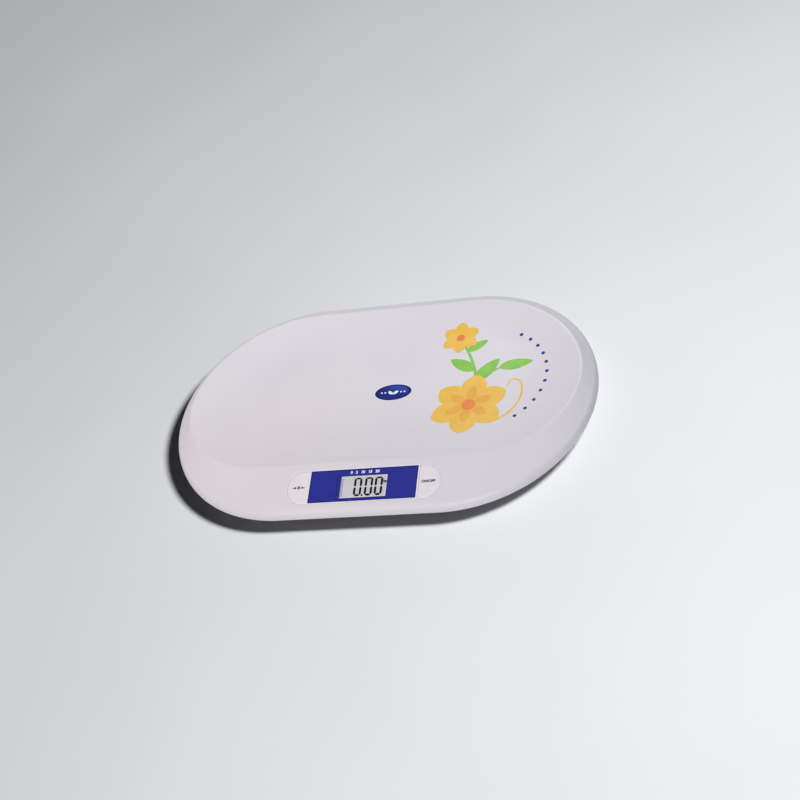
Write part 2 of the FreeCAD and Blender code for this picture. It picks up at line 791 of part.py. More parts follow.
def build_bezel():
    """The white strip that fills the recess in the deck and carries the display and the keys."""
    part = body("display_bezel")
    top = D["strip_proud"]
    bottom = -D["strip_seat"]
    pad(part, pill(part, "plate", bottom, ZERO), top - bottom)
    label = LABEL_HALF + 0.1, LABEL_HIGH + 0.1
    recess = boxes(part, "label_recess", top - D["label_thick"], [(-label[0], label[0], -label[1], label[1])])
    cut(part, recess, PAST)
    grow = D["window_gap"]
    for name, extra, start in (("window_pocket", grow, -D["window_low"]),
                               ("window_hole", -D["window_ledge"], bottom - EARLY)):
        half = D["window_half"] + extra
        high = D["window_high"] + extra
        limits = (D["window_x"] - half, D["window_x"] + half, D["window_y"] - high, D["window_y"] + high)
        cut(part, boxes(part, name, start, [limits]), PAST * 3.0)
    for side, name in ((-1, "left_hole"), (1, "right_hole")):
        cut(part, key_shape(part, name, bottom - EARLY, side, D["key_gap"]), PAST * 3.0)
    pegs = [(PEG_X * a, D["peg_y"] * b) for a in (-1, 1) for b in (-1, 1)]
    high = D["board_top"] - D["strip_seat"]
    pad(part, circles(part, "pegs", -D["board_top"], pegs, D["peg_radius"]), high + JOIN)
    depth = D["small_bite"] + EARLY
    cut(part, circles(part, "peg_holes", -D["board_top"], pegs, D["small_screw"]), depth)
    wall = D["strip_radius"] - D["strip_ledge"]
    legs, hooks = [], []
    for a in (-1, 1):
        for b in (-1, 1):
            ends = (D["catch_x"] * a - D["catch_half"], D["catch_x"] * a + D["catch_half"])
            far = (wall - D["catch_gap"]) * b
            near = (wall - D["catch_gap"] - D["catch_thick"]) * b
            catch = (wall + D["catch_reach"]) * b
            legs.append(ends + ((near, far) if b > 0 else (far, near)))
            hooks.append(ends + ((near, catch) if b > 0 else (catch, near)))
    low = D["strip_seat_low"] + D["catch_drop"]
    pad(part, boxes(part, "legs", -low, legs), low - D["strip_seat"] + JOIN)
    pad(part, boxes(part, "hooks", -low, hooks), D["catch_thick"])
    place_on_strip(part)
    return part


def build_label():
    """The printed blue panel around the window."""
    part = body("display_label")
    low = D["strip_proud"] - D["label_thick"]
    whole = (-LABEL_HALF, LABEL_HALF, -LABEL_HIGH, LABEL_HIGH)
    pad(part, boxes(part, "sheet", low, [whole]), D["label_thick"])
    half = D["window_half"] + D["window_gap"]
    high = D["window_high"] + D["window_gap"]
    limits = (D["window_x"] - half, D["window_x"] + half, D["window_y"] - high, D["window_y"] + high)
    cut(part, boxes(part, "window", low - EARLY, [limits]), PAST * 2.0)
    place_on_strip(part)
    return part


def slab(name, x, y, half, high, low, thick, inner=None):
    """A rectangular plate in the strip's frame, with an optional opening (half, high)."""
    part = body(name)
    pad(part, boxes(part, name + "_plate", low, [(x - half, x + half, y - high, y + high)]), thick)
    if inner:
        limits = (x - inner[0], x + inner[0], y - inner[1], y + inner[1])
        cut(part, boxes(part, name + "_hole", low - EARLY, [limits]), thick + PAST)
    place_on_strip(part)
    return part


def build_key(name, side):
    """A D-shaped key with a stem over its switch and hooks that stop it from coming out."""
    part = body(name)
    top = D["strip_proud"]
    low = -D["key_low"]
    pad(part, key_shape(part, name + "_cap", low, side, ZERO), top - low)
    stem = circles(part, name + "_stem", -D["plunger_top"], [(KEY_X * side, 0)], D["stem_radius"])
    pad(part, stem, D["plunger_top"] + low + JOIN)
    end = D["strip_half"] - D["key_rim"] - JOIN
    start = KEY_START
    leg, hook, wide = D["key_leg"], D["key_hook"], D["key_inner_half"]
    deep = D["strip_seat_low"] + D["catch_drop"]
    inner = D["strip_seat"] + D["catch_drop"]
    pieces = (
        ("outer_leg", end - leg, end, D["catch_half"], -deep, deep + low + JOIN),
        ("outer_hook", end - leg, end + leg, D["catch_half"], -deep, hook),
        ("inner_hook", start - hook, start + leg, wide, -inner, hook),
        ("inner_leg", start + JOIN, start + leg, wide, -inner, hook + EARLY),
    )
    for tag, first, last, reach, height, length in pieces:
        ends = (first, last) if side > 0 else (-last, -first)
        pad(part, boxes(part, name + "_" + tag, height, [ends + (-reach, reach)]), length)
    place_on_strip(part)
    plunger = body(name.replace("button", "plunger"))
    bottom = D["plunger_top"] + D["plunger_sunk"]
    tag = plunger.Label
    disc = circles(plunger, tag + "_disc", -bottom, [(KEY_X * side, 0)], D["plunger_radius"])
    pad(plunger, disc, bottom - D["plunger_top"])
    place_on_strip(plunger)


def build_switches():
    """The two switch housings on the board, open at the top for their plungers."""
    part = body("switch_bodies")
    half = D["switch_half"]
    places = [KEY_X * side for side in (-1, 1)]
    limits = [(x - half, x + half, -half, half) for x in places]
    pad(part, boxes(part, "housings", -D["board_top"], limits), D["board_top"] - D["switch_top"])
    bore = D["plunger_radius"] + D["plunger_gap"]
    depth = D["plunger_sunk"] + D["screw_fit"]
    holes = circles(part, "bores", -D["switch_top"] - depth, [(x, 0) for x in places], bore)
    cut(part, holes, depth + PAST)
    place_on_strip(part)


def build_board():
    """The circuit board with its screws, chip, capacitors and quartz."""
    part = body("main_pcb")
    low = -D["board_top"] - D["board_thick"]
    whole = (-BOARD_HALF, BOARD_HALF, -D["board_front"], D["board_back"])
    pad(part, boxes(part, "board", low, [whole]), D["board_thick"])
    pegs = [(PEG_X * a, D["peg_y"] * b) for a in (-1, 1) for b in (-1, 1)]
    cut(part, circles(part, "board_holes", low - EARLY, pegs, D["small_screw"] + JOIN), PAST * 3.0)
    place_on_strip(part)
    screws = body("pcb_screws")
    high, thin = D["small_head_high"], D["small_slot"]
    pad(screws, circles(screws, "small_heads", low - high, pegs, D["small_head"]), high)
    shanks = circles(screws, "small_shanks", low - JOIN, pegs, D["small_screw"] - D["screw_fit"] / 2.0)
    pad(screws, shanks, D["board_thick"] + D["small_bite"])
    slots = [(x - high, x + high, y - thin, y + thin) for x, y in pegs]
    slots += [(x - thin, x + thin, y - high, y - thin) for x, y in pegs]
    slots += [(x - thin, x + thin, y + thin, y + high) for x, y in pegs]
    start = low - high - D["screw_fit"]
    cut(screws, boxes(screws, "small_slots", start, slots), D["small_slot_deep"] + D["screw_fit"])
    place_on_strip(screws)
    chip = body("chip_blob")
    under = low - D["chip_high"]
    pad(chip, circles(chip, "blob", under, [(-D["chip_x"], 0)], D["chip_radius"]), D["chip_high"])
    round_last(chip, "blob_edge", lambda s: level_edges(s, under.value), D["chip_edge"])
    place_on_strip(chip)
    caps = body("pcb_capacitors")
    places = [
        (D["can_first_x"], -D["can_front"]),
        (D["can_second_x"], -D["can_front"]),
        (D["can_third_x"], D["can_back"]),
    ]
    pad(caps, circles(caps, "cans", low - D["can_high"], places, D["can_radius"]), D["can_high"])
    place_on_strip(caps)
    quartz = body("pcb_quartz")
    left, front = D["quartz_left"], D["quartz_front"]
    limits = (left, left + D["quartz_wide"], front, front + D["quartz_long"])
    pad(quartz, boxes(quartz, "can", low - D["quartz_high"], [limits]), D["quartz_high"])
    round_last(quartz, "can_edge", upright_edges, D["quartz_edge"])
    place_on_strip(quartz)


def build_display():
    """Window, liquid crystal glass, its frame and the conductive rubber strips."""
    x, y = D["window_x"], D["window_y"]
    top = D["strip_proud"] - D["window_sunk"]
    slab("display_window", x, y, D["window_half"], D["window_high"], -D["window_low"], top + D["window_low"])
    glass_low = -D["strip_seat"] - D["glass_thick"]
    slab("lcd_glass", x, y, D["glass_half"], D["glass_high"], glass_low, D["glass_thick"])
    gap = D["glass_gap"]
    high = D["board_top"] - D["strip_seat"]
    reach = D["zebra_reach"]
    inner = (D["zebra_half"] + gap, reach + gap)
    frame = slab("lcd_frame", x, y, D["frame_half"], D["frame_high"], -D["board_top"], high, inner)
    half, tall = D["glass_half"] + gap, D["glass_high"] + gap
    limits = (x - half, x + half, y - tall, y + tall)
    cut(frame, boxes(frame, "glass_pocket", glass_low, [limits]), D["glass_thick"] + PAST)
    strips = body("zebra_strips")
    width = D["zebra_width"]
    ends = (x - D["zebra_half"], x + D["zebra_half"])
    limits = [ends + (y + reach - width, y + reach), ends + (y - reach, y - reach + width)]
    pad(strips, boxes(strips, "strips", -D["board_top"], limits), high - D["glass_thick"])
    place_on_strip(strips)


def build_battery_parts():
    """The sliding door, two cells, their plates and coil springs."""
    low = D["cover_bottom"]
    y = D["bay_y"]
    door = body("battery_door")
    half, width = D["door_half"], D["door_width"]
    pad(door, boxes(door, "door_plate", low, [(-half, half, y - width, y + width)]), D["door_thick"])
    tongues = []
    reach = width + D["tongue_reach"]
    for start in (D["tongue_left"], D["tongue_right"]):
        tongues.append((start, start + D["tongue_length"], y - reach, y + reach))
    high = D["door_thick"] - D["tongue_thick"]
    pad(door, boxes(door, "tongues", low + high, tongues), D["tongue_thick"])
    grooves = []
    for count in range(4):
        left = D["grip_left"] + D["grip_pitch"] * count
        grooves.append((left, left + D["grip_width"], y - D["grip_half"], y + D["grip_half"]))
    cut(door, boxes(door, "grip", low - EARLY, grooves), D["grip_deep"] + EARLY)
    top = D["bay_roof"] - 0.05
    wall = D["bay_half"] - D["plate_thick"]
    for name, side in (("battery_cell_a", 1), ("battery_cell_b", -1)):
        cell = body(name)
        length = D["battery_length"] - D["battery_nub"]
        pad(cell, circles(cell, name + "_can", 0, [(0, 0)], D["battery_radius"]), length)
        nub = circles(cell, name + "_nub", length - 0.1, [(0, 0)], D["battery_nub_radius"])
        pad(cell, nub, D["battery_nub"] + 0.1)
        cell.Placement = Placement(Vector(), Rotation(Vector(0, 1, 0), -90 * side))
        end = (D["battery_length"] - wall + 0.1) * side
        place(cell, end, y + D["battery_pitch"] * side, top - D["battery_radius"])
    plates = body("battery_plates")
    wide = D["battery_pitch"] + D["plate_half"]
    bars = [(-D["bay_half"], -wall, y - wide, y + wide)]
    for side in (-1, 1):
        middle = y + D["battery_pitch"] * side
        bars.append((wall, D["bay_half"], middle - D["plate_half"], middle + D["plate_half"]))
    high = D["bay_roof"] - D["door_gap"]
    pad(plates, boxes(plates, "plates", D["plate_low"], bars), high - D["plate_low"])
    tabs = []
    for side in (-1, 1):
        middle = y + D["battery_pitch"] * side
        tabs.append((wall, D["bay_half"], middle - D["tab_half"], middle + D["tab_half"]))
    start = D["bay_roof"] - PAST
    pad(plates, boxes(plates, "tabs", start, tabs), D["tab_high"] - start)
    build_springs(wall, top - D["battery_radius"])


def build_springs(wall, height):
    """Two coil springs, each between a plate and the flat end of a cell."""
    coils = []
    wire = D["spring_wire"].value
    cell_end = (D["battery_length"] - wall + 0.1).value
    length = wall.value - cell_end - 2 * wire - 0.1
    for side in (-1, 1):
        path = Part.makeHelix(length / D["spring_turns"].value, length, D["spring_radius"].value)
        ring = Part.makeCircle(wire, Vector(D["spring_radius"].value, 0, 0), Vector(0, 1, 0))
        coil = Part.Wire(path).makePipeShell([Part.Wire(ring)], True, True)
        coil.Placement = Placement(Vector(), Rotation(Vector(0, 1, 0), 90 * side))
        x = side * (cell_end + wire + 0.05)
        y = (D["bay_y"] + D["battery_pitch"] * side).value
        coil.translate(Vector(x, y, height.value))
        coils.append(coil)
    springs = doc.addObject("Part::Feature", "battery_springs")
    springs.Label = "battery_springs"
    springs.Shape = Part.makeCompound(coils)
    PARTS.append(springs)


def build_foot(name, x, y, turn):
    """One foot: rubber pad, cup, and the load cell that the cup carries."""
    pad_part = body("foot_pad_" + name)
    tag = pad_part.Label
    pad(pad_part, circles(pad_part, tag + "_disc", 0, [(0, 0)], D["pad_radius"]), D["pad_height"])
    round_last(pad_part, tag + "_edge", lambda s: level_edges(s, 0), D["pad_edge"])
    place(pad_part, x, y)
    cup = body("foot_cup_" + name)
    tag = cup.Label
    low, high = D["cup_low"], D["cup_high"]
    pad(cup, boxes(cup, tag + "_block", low, [square(ZERO, ZERO, D["cup_width"])]), high - low)
    round_last(cup, tag + "_corner", upright_edges, D["cup_corner"])
    hole = square(ZERO, ZERO, D["cell_width"] + D["cell_gap"] * 2.0)
    cut(cup, boxes(cup, tag + "_seat", D["cell_low"], [hole]), high - D["cell_low"] + PAST)
    hollow = square(ZERO, ZERO, D["cup_hollow"])
    cut(cup, boxes(cup, tag + "_hollow", D["cup_floor_high"], [hollow]), D["cell_low"])
    recess = circles(cup, tag + "_recess", low - EARLY, [(0, 0)], D["pad_radius"] + D["pad_gap"])
    cut(cup, recess, D["pad_height"] - low + EARLY)
    lip_low = D["cell_low"] + D["cell_thick"] + D["foot_travel"]
    wall = D["cell_width"] / 2.0 + D["cell_gap"] + JOIN
    half = D["lip_half"]
    lips = [(-half, half, D["lip_reach"], wall), (-half, half, -wall, -D["lip_reach"])]
    pad(cup, boxes(cup, tag + "_lips", lip_low, lips), high - lip_low)
    place(cup, x, y)
    cell = body("load_cell_" + name)
    tag = cell.Label
    low = D["cell_low"]
    pad(cell, boxes(cell, tag + "_plate", low, [square(ZERO, ZERO, D["cell_width"])]), D["cell_thick"])
    round_last(cell, tag + "_corner", upright_edges, D["cell_corner"])
    reach, width = D["cell_slot_reach"], D["cell_slot_width"]
    slots = [
        (-reach, -reach + width, (-reach + width) * turn, reach * turn),
        (reach - width, reach, (-reach + width) * turn, reach * turn),
        (-reach, reach, -reach * turn, (-reach + width) * turn),
    ]
    slots = [(a, b, c, d) if turn > 0 else (a, b, d, c) for a, b, c, d in slots]
    cut(cell, boxes(cell, tag + "_slots", low - EARLY, slots), PAST * 4.0)
    clear = D["screw_hole"] / 2.0 + D["screw_fit"]
    cut(cell, circles(cell, tag + "_hole", low - EARLY, [(0, 0)], clear), PAST * 4.0)
    place(cell, x, y)


def build_shared_foot_parts():
    """Gauge covers and the screws that hold the load cells."""
    covers = body("gauge_covers")
    high = D["cell_low"] + D["cell_thick"]
    half, wide = D["gauge_length"] / 2.0, D["gauge_width"] / 2.0
    limits = []
    for _, x, y, turn in FEET:
        middle = y + D["gauge_offset"] * turn
        limits.append((x - half, x + half, middle - wide, middle + wide))
    pad(covers, boxes(covers, "covers", high, limits), D["gauge_high"])
    centres = [(x, y) for _, x, y, _ in FEET]
    build_screws("cell_screws", centres, D["cell_low"], D["cell_screw_length"])
    build_screws("cover_screws", SCREW_PLACES, D["screw_seat"], D["cover_screw_length"])


def build_screws(name, places, seat, length):
    """Upright screws whose heads bear from below at the seat height."""
    part = body(name)
    low = seat - D["screw_head_high"]
    pad(part, circles(part, name + "_heads", low, places, D["screw_head_radius"]), D["screw_head_high"])
    pad(part, circles(part, name + "_shanks", seat - JOIN, places, D["screw_radius"]), length + JOIN)
    reach, half = D["cross_reach"], D["cross_half"]
    slots = []
    for x, y in places:
        slots.append((x - reach, x + reach, y - half, y + half))
        slots.append((x - half, x + half, y - reach, y - half))
        slots.append((x - half, x + half, y + half, y + reach))
    start = low - D["screw_fit"]
    cut(part, boxes(part, name + "_slots", start, slots), D["cross_deep"] + D["screw_fit"])


def build_badge():
    """The oval badge that lies on the flat floor."""
    oval = doc.addObject("Part::Ellipse", "badge_oval")
    oval.setExpression("MajorRadius", D["badge_half"].text)
    oval.setExpression("MinorRadius", D["badge_high"].text)
    badge = doc.addObject("Part::Extrusion", "oval_badge")
    badge.Label = "oval_badge"
    badge.Base = oval
    badge.DirMode = "Custom"
    badge.Dir = Vector(0, 0, 1)
    badge.setExpression("LengthFwd", D["badge_thick"].text)
    badge.Solid = True
    place(badge, D["badge_x"], D["badge_y"], D["floor_height"])
    PARTS.append(badge)


def lead(name, points):
    """A lead of straight runs joined by tangent arcs."""
    radius = D["lead_radius"].value
    points = [Vector(*point) for point in points]
    edges = []
    start = points[0]
    length = 0.0
    for before, corner, after in zip(points, points[1:], points[2:]):
        one, two = before - corner, after - corner
        run = min(one.Length, two.Length)
        half_turn = (math.pi - one.getAngle(two)) / 2
        reach = 0.45 * run
        bend = reach / math.tan(half_turn)
        print("%s bend radius %.1f, %.1f diameters" % (name, bend, bend / (2 * radius)))
        first = corner + one.normalize() * reach
        last = corner + two.normalize() * reach
        middle_line = (one + two).normalize()
        middle = corner + middle_line * (bend / math.cos(half_turn) - bend)
        edges.append(Part.LineSegment(start, first).toShape())
        edges.append(Part.Arc(first, middle, last).toShape())
        length += (first - start).Length + bend * 2 * half_turn
        start = last
    edges.append(Part.LineSegment(start, points[-1]).toShape())
    length += (points[-1] - start).Length
    path = Part.Wire(edges)
    ring = Part.makeCircle(radius, points[0], points[1] - points[0])
    solid = path.makePipeShell([Part.Wire(ring)], True, True)
    share = solid.Volume / (math.pi * radius ** 2 * length)
    print("%s length %.1f, volume over section times length %.4f" % (name, length, share))
    part = doc.addObject("Part::Feature", name)
    part.Label = name
    part.Shape = solid
    PARTS.append(part)


def on_board(x, y):
    """Return the world point of a lead's centre lying under the board."""
    depth = (D["board_top"] + D["board_thick"]).value + D["lead_radius"].value
    turn = math.radians(DECK_ANGLE.value)
    return (
        D["strip_x"].value + x,
        STRIP_Y.value + y * math.cos(turn) + depth * math.sin(turn),
        STRIP_Z.value + y * math.sin(turn) - depth * math.cos(turn),
    )


def build_leads():
    """Load cell leads and battery leads, each from its source to the board."""
    start = (D["cell_low"] + D["cell_thick"] + D["gauge_high"]).value
    foot_x, foot_y = D["foot_x"].value, D["foot_y"].value
    near = (D["foot_y"] - D["gauge_offset"]).value
    low, middle, high = D["lead_low"].value, D["lead_middle"].value, D["lead_high"].value
    turn, end = D["lead_turn"].value, D["lead_end"].value
    boss_x, boss_y = D["screw_mid_x"].value, SCREW_FRONT_Y.value
    ahead = boss_y - D["lead_pass_front"].value
    for hand, side in (("right", 1), ("left", -1)):
        front_exit = (PEG_X - D["lead_peg_gap"]).value * side
        points = [
            (foot_x * side, -near, start),
            (foot_x * side, -near, high),
            (foot_x * 0.75 * side, ahead + foot_y * 0.12, low),
            (boss_x * 0.96 * side, ahead, middle),
            on_board(front_exit, turn),
            on_board(front_exit, end),
        ]
        lead("lead_front_" + hand, points)
        back_exit = front_exit - D["lead_step"].value * side
        points = [
            (foot_x * side, near, start),
            (foot_x * side, near, high),
            (foot_x * 0.77 * side, foot_y * 0.45, low),
            (foot_x * 0.68 * side, -foot_y * 0.1, middle),
            (boss_x * 1.32 * side, boss_y * 0.6, low),
            ((boss_x - D["lead_pass_side"].value) * side, boss_y * 0.9, middle),
            on_board(back_exit, turn),
            on_board(back_exit, end),
        ]
        lead("lead_back_" + hand, points)
    tab = D["bay_half"].value + D["lead_radius"].value
    pair = D["lead_pair"].value
    for name, side, shift in (("lead_positive", -1, 0.0), ("lead_negative", 1, pair)):
        y = (D["bay_y"] + D["battery_pitch"] * side).value
        board_exit = 2 * shift - 0.75 * pair
        points = [
            (tab, y + 1.5, D["tab_high"].value - 1.2),
            (tab + 0.5 + shift * 0.6, y - foot_y * 0.32, middle),
            (tab + 1.5 * pair + shift, y - foot_y * 0.88, low),
            (board_exit + 1.75 * pair, -foot_y * 0.64 - shift, middle),
            (board_exit + 0.5 * pair, -foot_y * 1.12, high),
            on_board(board_exit, turn),
            on_board(board_exit, end),
        ]
        lead(name, points)


def export_all():
    """Check every sub-part and write it to its own file."""
    doc.recompute()
    for item in doc.Objects:
        if "Invalid" in item.State or "Error" in item.State:
            raise RuntimeError("%s did not build: %s" % (item.Label, item.State))
    os.makedirs(OUT, exist_ok=True)
    for part in PARTS:
        shape = part.Shape
        if shape.isNull() or not shape.isValid():
            raise RuntimeError("%s has a faulty shape" % part.Label)
        shape.exportStep("%s/%s.step" % (OUT, part.Label))
        box = shape.optimalBoundingBox()
        print("%-24s solids %d volume %9.1f x %7.1f %7.1f y %7.1f %7.1f z %6.2f %6.2f" % (
            part.Label, len(shape.Solids), shape.Volume,
            box.XMin, box.XMax, box.YMin, box.YMax, box.ZMin, box.ZMax))


build_tray()
build_cover()
build_bezel()
build_label()
build_display()
build_key("tare_button", -1)
build_key("power_button", 1)
build_switches()
build_board()
build_battery_parts()
for foot in FEET:
    build_foot(*foot)
build_shared_foot_parts()
build_badge()
build_leads()
export_all()
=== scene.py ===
"""Looks of the digital baby weighing scale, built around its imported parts.

The row frame is in metres: +X to the right of the parent at the display, +Y away from the display,
+Z up, the table at Z = 0.  New pieces are surfaces worked out with numpy from a few named sizes.
"""

import json
import logging
import math
from dataclasses import astuple, dataclass, field
from enum import Enum

import bmesh
import bpy
import numpy as np
from mathutils import Matrix, Vector

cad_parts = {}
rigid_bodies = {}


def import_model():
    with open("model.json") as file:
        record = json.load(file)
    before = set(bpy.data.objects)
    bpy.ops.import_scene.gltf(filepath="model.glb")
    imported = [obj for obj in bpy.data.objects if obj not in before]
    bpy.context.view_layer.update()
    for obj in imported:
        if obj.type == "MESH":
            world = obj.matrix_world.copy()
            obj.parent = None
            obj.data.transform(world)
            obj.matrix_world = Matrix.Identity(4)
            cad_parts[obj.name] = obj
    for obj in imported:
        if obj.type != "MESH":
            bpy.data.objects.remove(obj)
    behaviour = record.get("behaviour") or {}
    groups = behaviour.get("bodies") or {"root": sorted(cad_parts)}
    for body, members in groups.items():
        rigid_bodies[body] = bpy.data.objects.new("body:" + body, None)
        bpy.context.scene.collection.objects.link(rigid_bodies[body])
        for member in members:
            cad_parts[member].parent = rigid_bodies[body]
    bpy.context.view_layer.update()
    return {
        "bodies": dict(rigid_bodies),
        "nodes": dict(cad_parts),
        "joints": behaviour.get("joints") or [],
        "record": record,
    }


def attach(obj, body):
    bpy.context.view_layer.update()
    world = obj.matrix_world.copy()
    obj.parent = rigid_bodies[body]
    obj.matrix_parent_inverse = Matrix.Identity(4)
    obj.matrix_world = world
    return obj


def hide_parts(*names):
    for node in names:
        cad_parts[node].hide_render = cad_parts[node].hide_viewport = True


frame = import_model()

MM = 0.001
QUARTER = math.pi / 2.0
LOG = logging.getLogger("baby_scale")

Array = np.ndarray
Piece = bpy.types.Object
Tree = bpy.types.NodeTree
Socket = bpy.types.NodeSocket
Pair = tuple[float, float]
Point = tuple[float, float, float]
Counts = tuple[int, int, int, int]
Slab = tuple[Array, Array, Array, Array]


# ---------------------------------------------------------------- colours and nodes


def linear(colour: str) -> tuple[float, float, float, float]:
    """Turn an sRGB hex colour such as #E8E8EB into the linear one that shaders use, with an alpha of 1."""
    channels = [int(colour[place:place + 2], 16) / 255.0 for place in (1, 3, 5)]
    made = [c / 12.92 if c <= 0.04045 else ((c + 0.055) / 1.055) ** 2.4 for c in channels]
    return made[0], made[1], made[2], 1.0


def add_node(tree: Tree, kind: str, inputs: dict[str | int, object], **settings: object) -> bpy.types.Node:
    """Add one node with its settings, values and links.

    Args:
        tree: the node tree that takes it.
        kind: the node's type name, without ShaderNode.
        inputs: a value or another node's output socket for each input.
        settings: attributes of the node itself.

    Returns:
        The new node.
    """
    node = tree.nodes.new("ShaderNode" + kind)
    for name, value in settings.items():
        setattr(node, name, value)
    for name, value in inputs.items():
        if isinstance(value, bpy.types.NodeSocket):
            tree.links.new(value, node.inputs[name])
        else:
            node.inputs[name].default_value = value
    return node


def ramp(tree: Tree, factor: Socket, stops: tuple[tuple[float, str], ...]) -> Socket:
    """Add a ramp between two colours.

    Args:
        tree: the node tree.
        factor: the value that runs along the ramp.
        stops: each end's place from 0 to 1 and its hex colour.

    Returns:
        The ramp's colour.
    """
    node = add_node(tree, "ValToRGB", {"Fac": factor})
    for element, (place, colour) in zip(node.color_ramp.elements, stops):
        element.position = place
        element.color = linear(colour)
    return node.outputs["Color"]


def map_range(tree: Tree, value: Socket, start: Pair, end: Pair, kind: str = "SMOOTHSTEP") -> Socket:
    """Return a value carried from the range start into the range end."""
    inputs = {"Value": value, "From Min": start[0], "From Max": start[1], "To Min": end[0], "To Max": end[1]}
    return add_node(tree, "MapRange", inputs, interpolation_type=kind).outputs["Result"]


def lay_over(tree: Tree, share: Socket, colour: Socket, tone: str) -> Socket:
    """Return a colour with a tone laid over it by a share from 0 to 1."""
    return add_node(tree, "Mix", {0: share, 6: colour, 7: linear(tone)}, data_type="RGBA").outputs[2]


def maths(tree: Tree, operation: str, first: Socket, second: object = 0.0) -> Socket:
    """Return the result of one sum on two values."""
    return add_node(tree, "Math", {0: first, 1: second}, operation=operation).outputs[0]


def local_place(tree: Tree, place: Socket, **frame_of: Point) -> tuple[Socket, dict[str, Socket]]:
    """Return coordinates in a frame of their own, as one vector and as its three parts (metres)."""
    inputs = {"Vector": place} | frame_of
    vector = add_node(tree, "Mapping", inputs, vector_type="TEXTURE").outputs["Vector"]
    return vector, add_node(tree, "SeparateXYZ", {"Vector": vector}).outputs


# The spans of a noise that carry its colour drift and its gloss, and the width of the gloss's patches
# as a multiple of the grain.
DRIFT_SPAN = (0.35, 0.68)
GLOSS_SPAN = (0.3, 0.7)
GLOSS_WIDTH = 14.0


class Grain(Enum):
    """Whether a surface's fine texture has a direction; the value is its scale along X."""

    EVEN = 1.0
    BRUSHED = 0.04


@dataclass(frozen=True)
class Finish:
    """One surface finish, from its colours, gloss and the real size of its texture.

    Attributes:
        name: the finish, named for its material and how it was made.
        colour: main colour, sRGB hex.
        second: colour that slow variation drifts to.
        rough: roughness of the surface.
        grain_mm: size of one grain of the texture in millimetres.
        bump_mm: height of the texture.
        drift_mm: size of the slow colour variation.
        rough_spread: how far the roughness wanders to each side.
        specular: strength of the gloss, 0.5 for a plain plastic.
        metallic: 1 for a bare metal.
        coat: weight of a clear lacquer.
        alpha: below 1 for a clear sheet that shows what lies under it.
        grain: whether the texture has a direction.
    """

    name: str
    colour: str
    second: str
    rough: float
    grain_mm: float
    bump_mm: float
    drift_mm: float
    rough_spread: float = 0.04
    specular: float = 0.5
    metallic: float = 0.0
    coat: float = 0.0
    alpha: float = 1.0
    grain: Grain = Grain.EVEN

    def place(self, tree: Tree) -> Socket:
        """Return the object's own coordinates, drawn out along X on brushed sheet."""
        where = add_node(tree, "TexCoord", {}).outputs["Object"]
        if self.grain is Grain.EVEN:
            return where
        inputs = {"Vector": where, "Scale": (self.grain.value, 1.0, 1.0)}
        return add_node(tree, "Mapping", inputs).outputs["Vector"]

    def noise(self, tree: Tree, place: Socket, size_mm: float, detail: float) -> Socket:
        """Return a noise whose lumps are about size_mm across."""
        inputs = {"Vector": place, "Scale": 1.0 / (size_mm * MM), "Detail": detail, "Roughness": 0.55}
        return add_node(tree, "TexNoise", inputs).outputs["Fac"]

    def colour_socket(self, tree: Tree, place: Socket) -> Socket:
        """Return the slow drift between the two colours."""
        slow = self.noise(tree, place, self.drift_mm, 2.0)
        return ramp(tree, slow, tuple(zip(DRIFT_SPAN, (self.colour, self.second))))

    def build(self) -> bpy.types.Material:
        """Make a node material with colour drift, uneven gloss and a bump of the real grain.

        Returns:
            The material.
        """
        material = bpy.data.materials.new(self.name)
        material.use_nodes = True
        tree = material.node_tree
        tree.nodes.clear()
        place = self.place(tree)
        fine = self.noise(tree, place, self.grain_mm, 3.0)
        broad = self.noise(tree, place, self.grain_mm * GLOSS_WIDTH, 3.0)
        gloss = (self.rough - self.rough_spread, self.rough + self.rough_spread)
        bump = {"Strength": 1.0, "Distance": self.bump_mm * MM, "Height": fine}
        shader = add_node(tree, "BsdfPrincipled", {
            "Base Color": self.colour_socket(tree, place),
            "Roughness": map_range(tree, broad, GLOSS_SPAN, gloss, "LINEAR"),
            "Metallic": self.metallic,
            "IOR": 1.5,
            "Alpha": self.alpha,
            "Coat Weight": self.coat,
            "Specular IOR Level": self.specular,
            "Normal": add_node(tree, "Bump", bump).outputs["Normal"],
        })
        add_node(tree, "OutputMaterial", {"Surface": shader.outputs["BSDF"]})
        return material


# ---------------------------------------------------------------- mesh helpers


def grid_faces(rows: int, columns: int, closed: bool) -> Array:
    """Number the quads of a grid of points.

    Args:
        rows: number of rows.
        columns: number of points in a row.
        closed: whether the last column joins the first.

    Returns:
        Vertex numbers, an array of n by 4.
    """
    row = np.arange(rows - 1)[:, None]
    column = np.arange(columns if closed else columns - 1)[None, :]
    after = (column + 1) % columns
    corners = (row * columns + column, row * columns + after,
               (row + 1) * columns + after, (row + 1) * columns + column)
    return np.stack([np.broadcast_to(c, (rows - 1, column.shape[1])) for c in corners], -1).reshape(-1, 4)


def link_new(name: str, data: bpy.types.ID) -> Piece:
    """Return a new object of the given data, linked to the scene."""
    new = bpy.data.objects.new(name, data)
    bpy.context.scene.collection.objects.link(new)
    return new


def make_object(name: str, points: Array, faces: list, smooth: bool = True) -> Piece:
    """Make a mesh object at the origin.

    Args:
        name: the piece's name.
        points: an array of n by 3, in metres.
        faces: sequences of vertex numbers.
        smooth: whether the faces are shaded smooth.

    Returns:
        The new object, linked to the scene.
    """
    mesh = bpy.data.meshes.new(name)
    mesh.from_pydata(points.reshape(-1, 3).tolist(), [], [list(map(int, face)) for face in faces])
    mesh.polygons.foreach_set("use_smooth", np.full(len(mesh.polygons), smooth))
    mesh.update()
    return link_new(name, mesh)


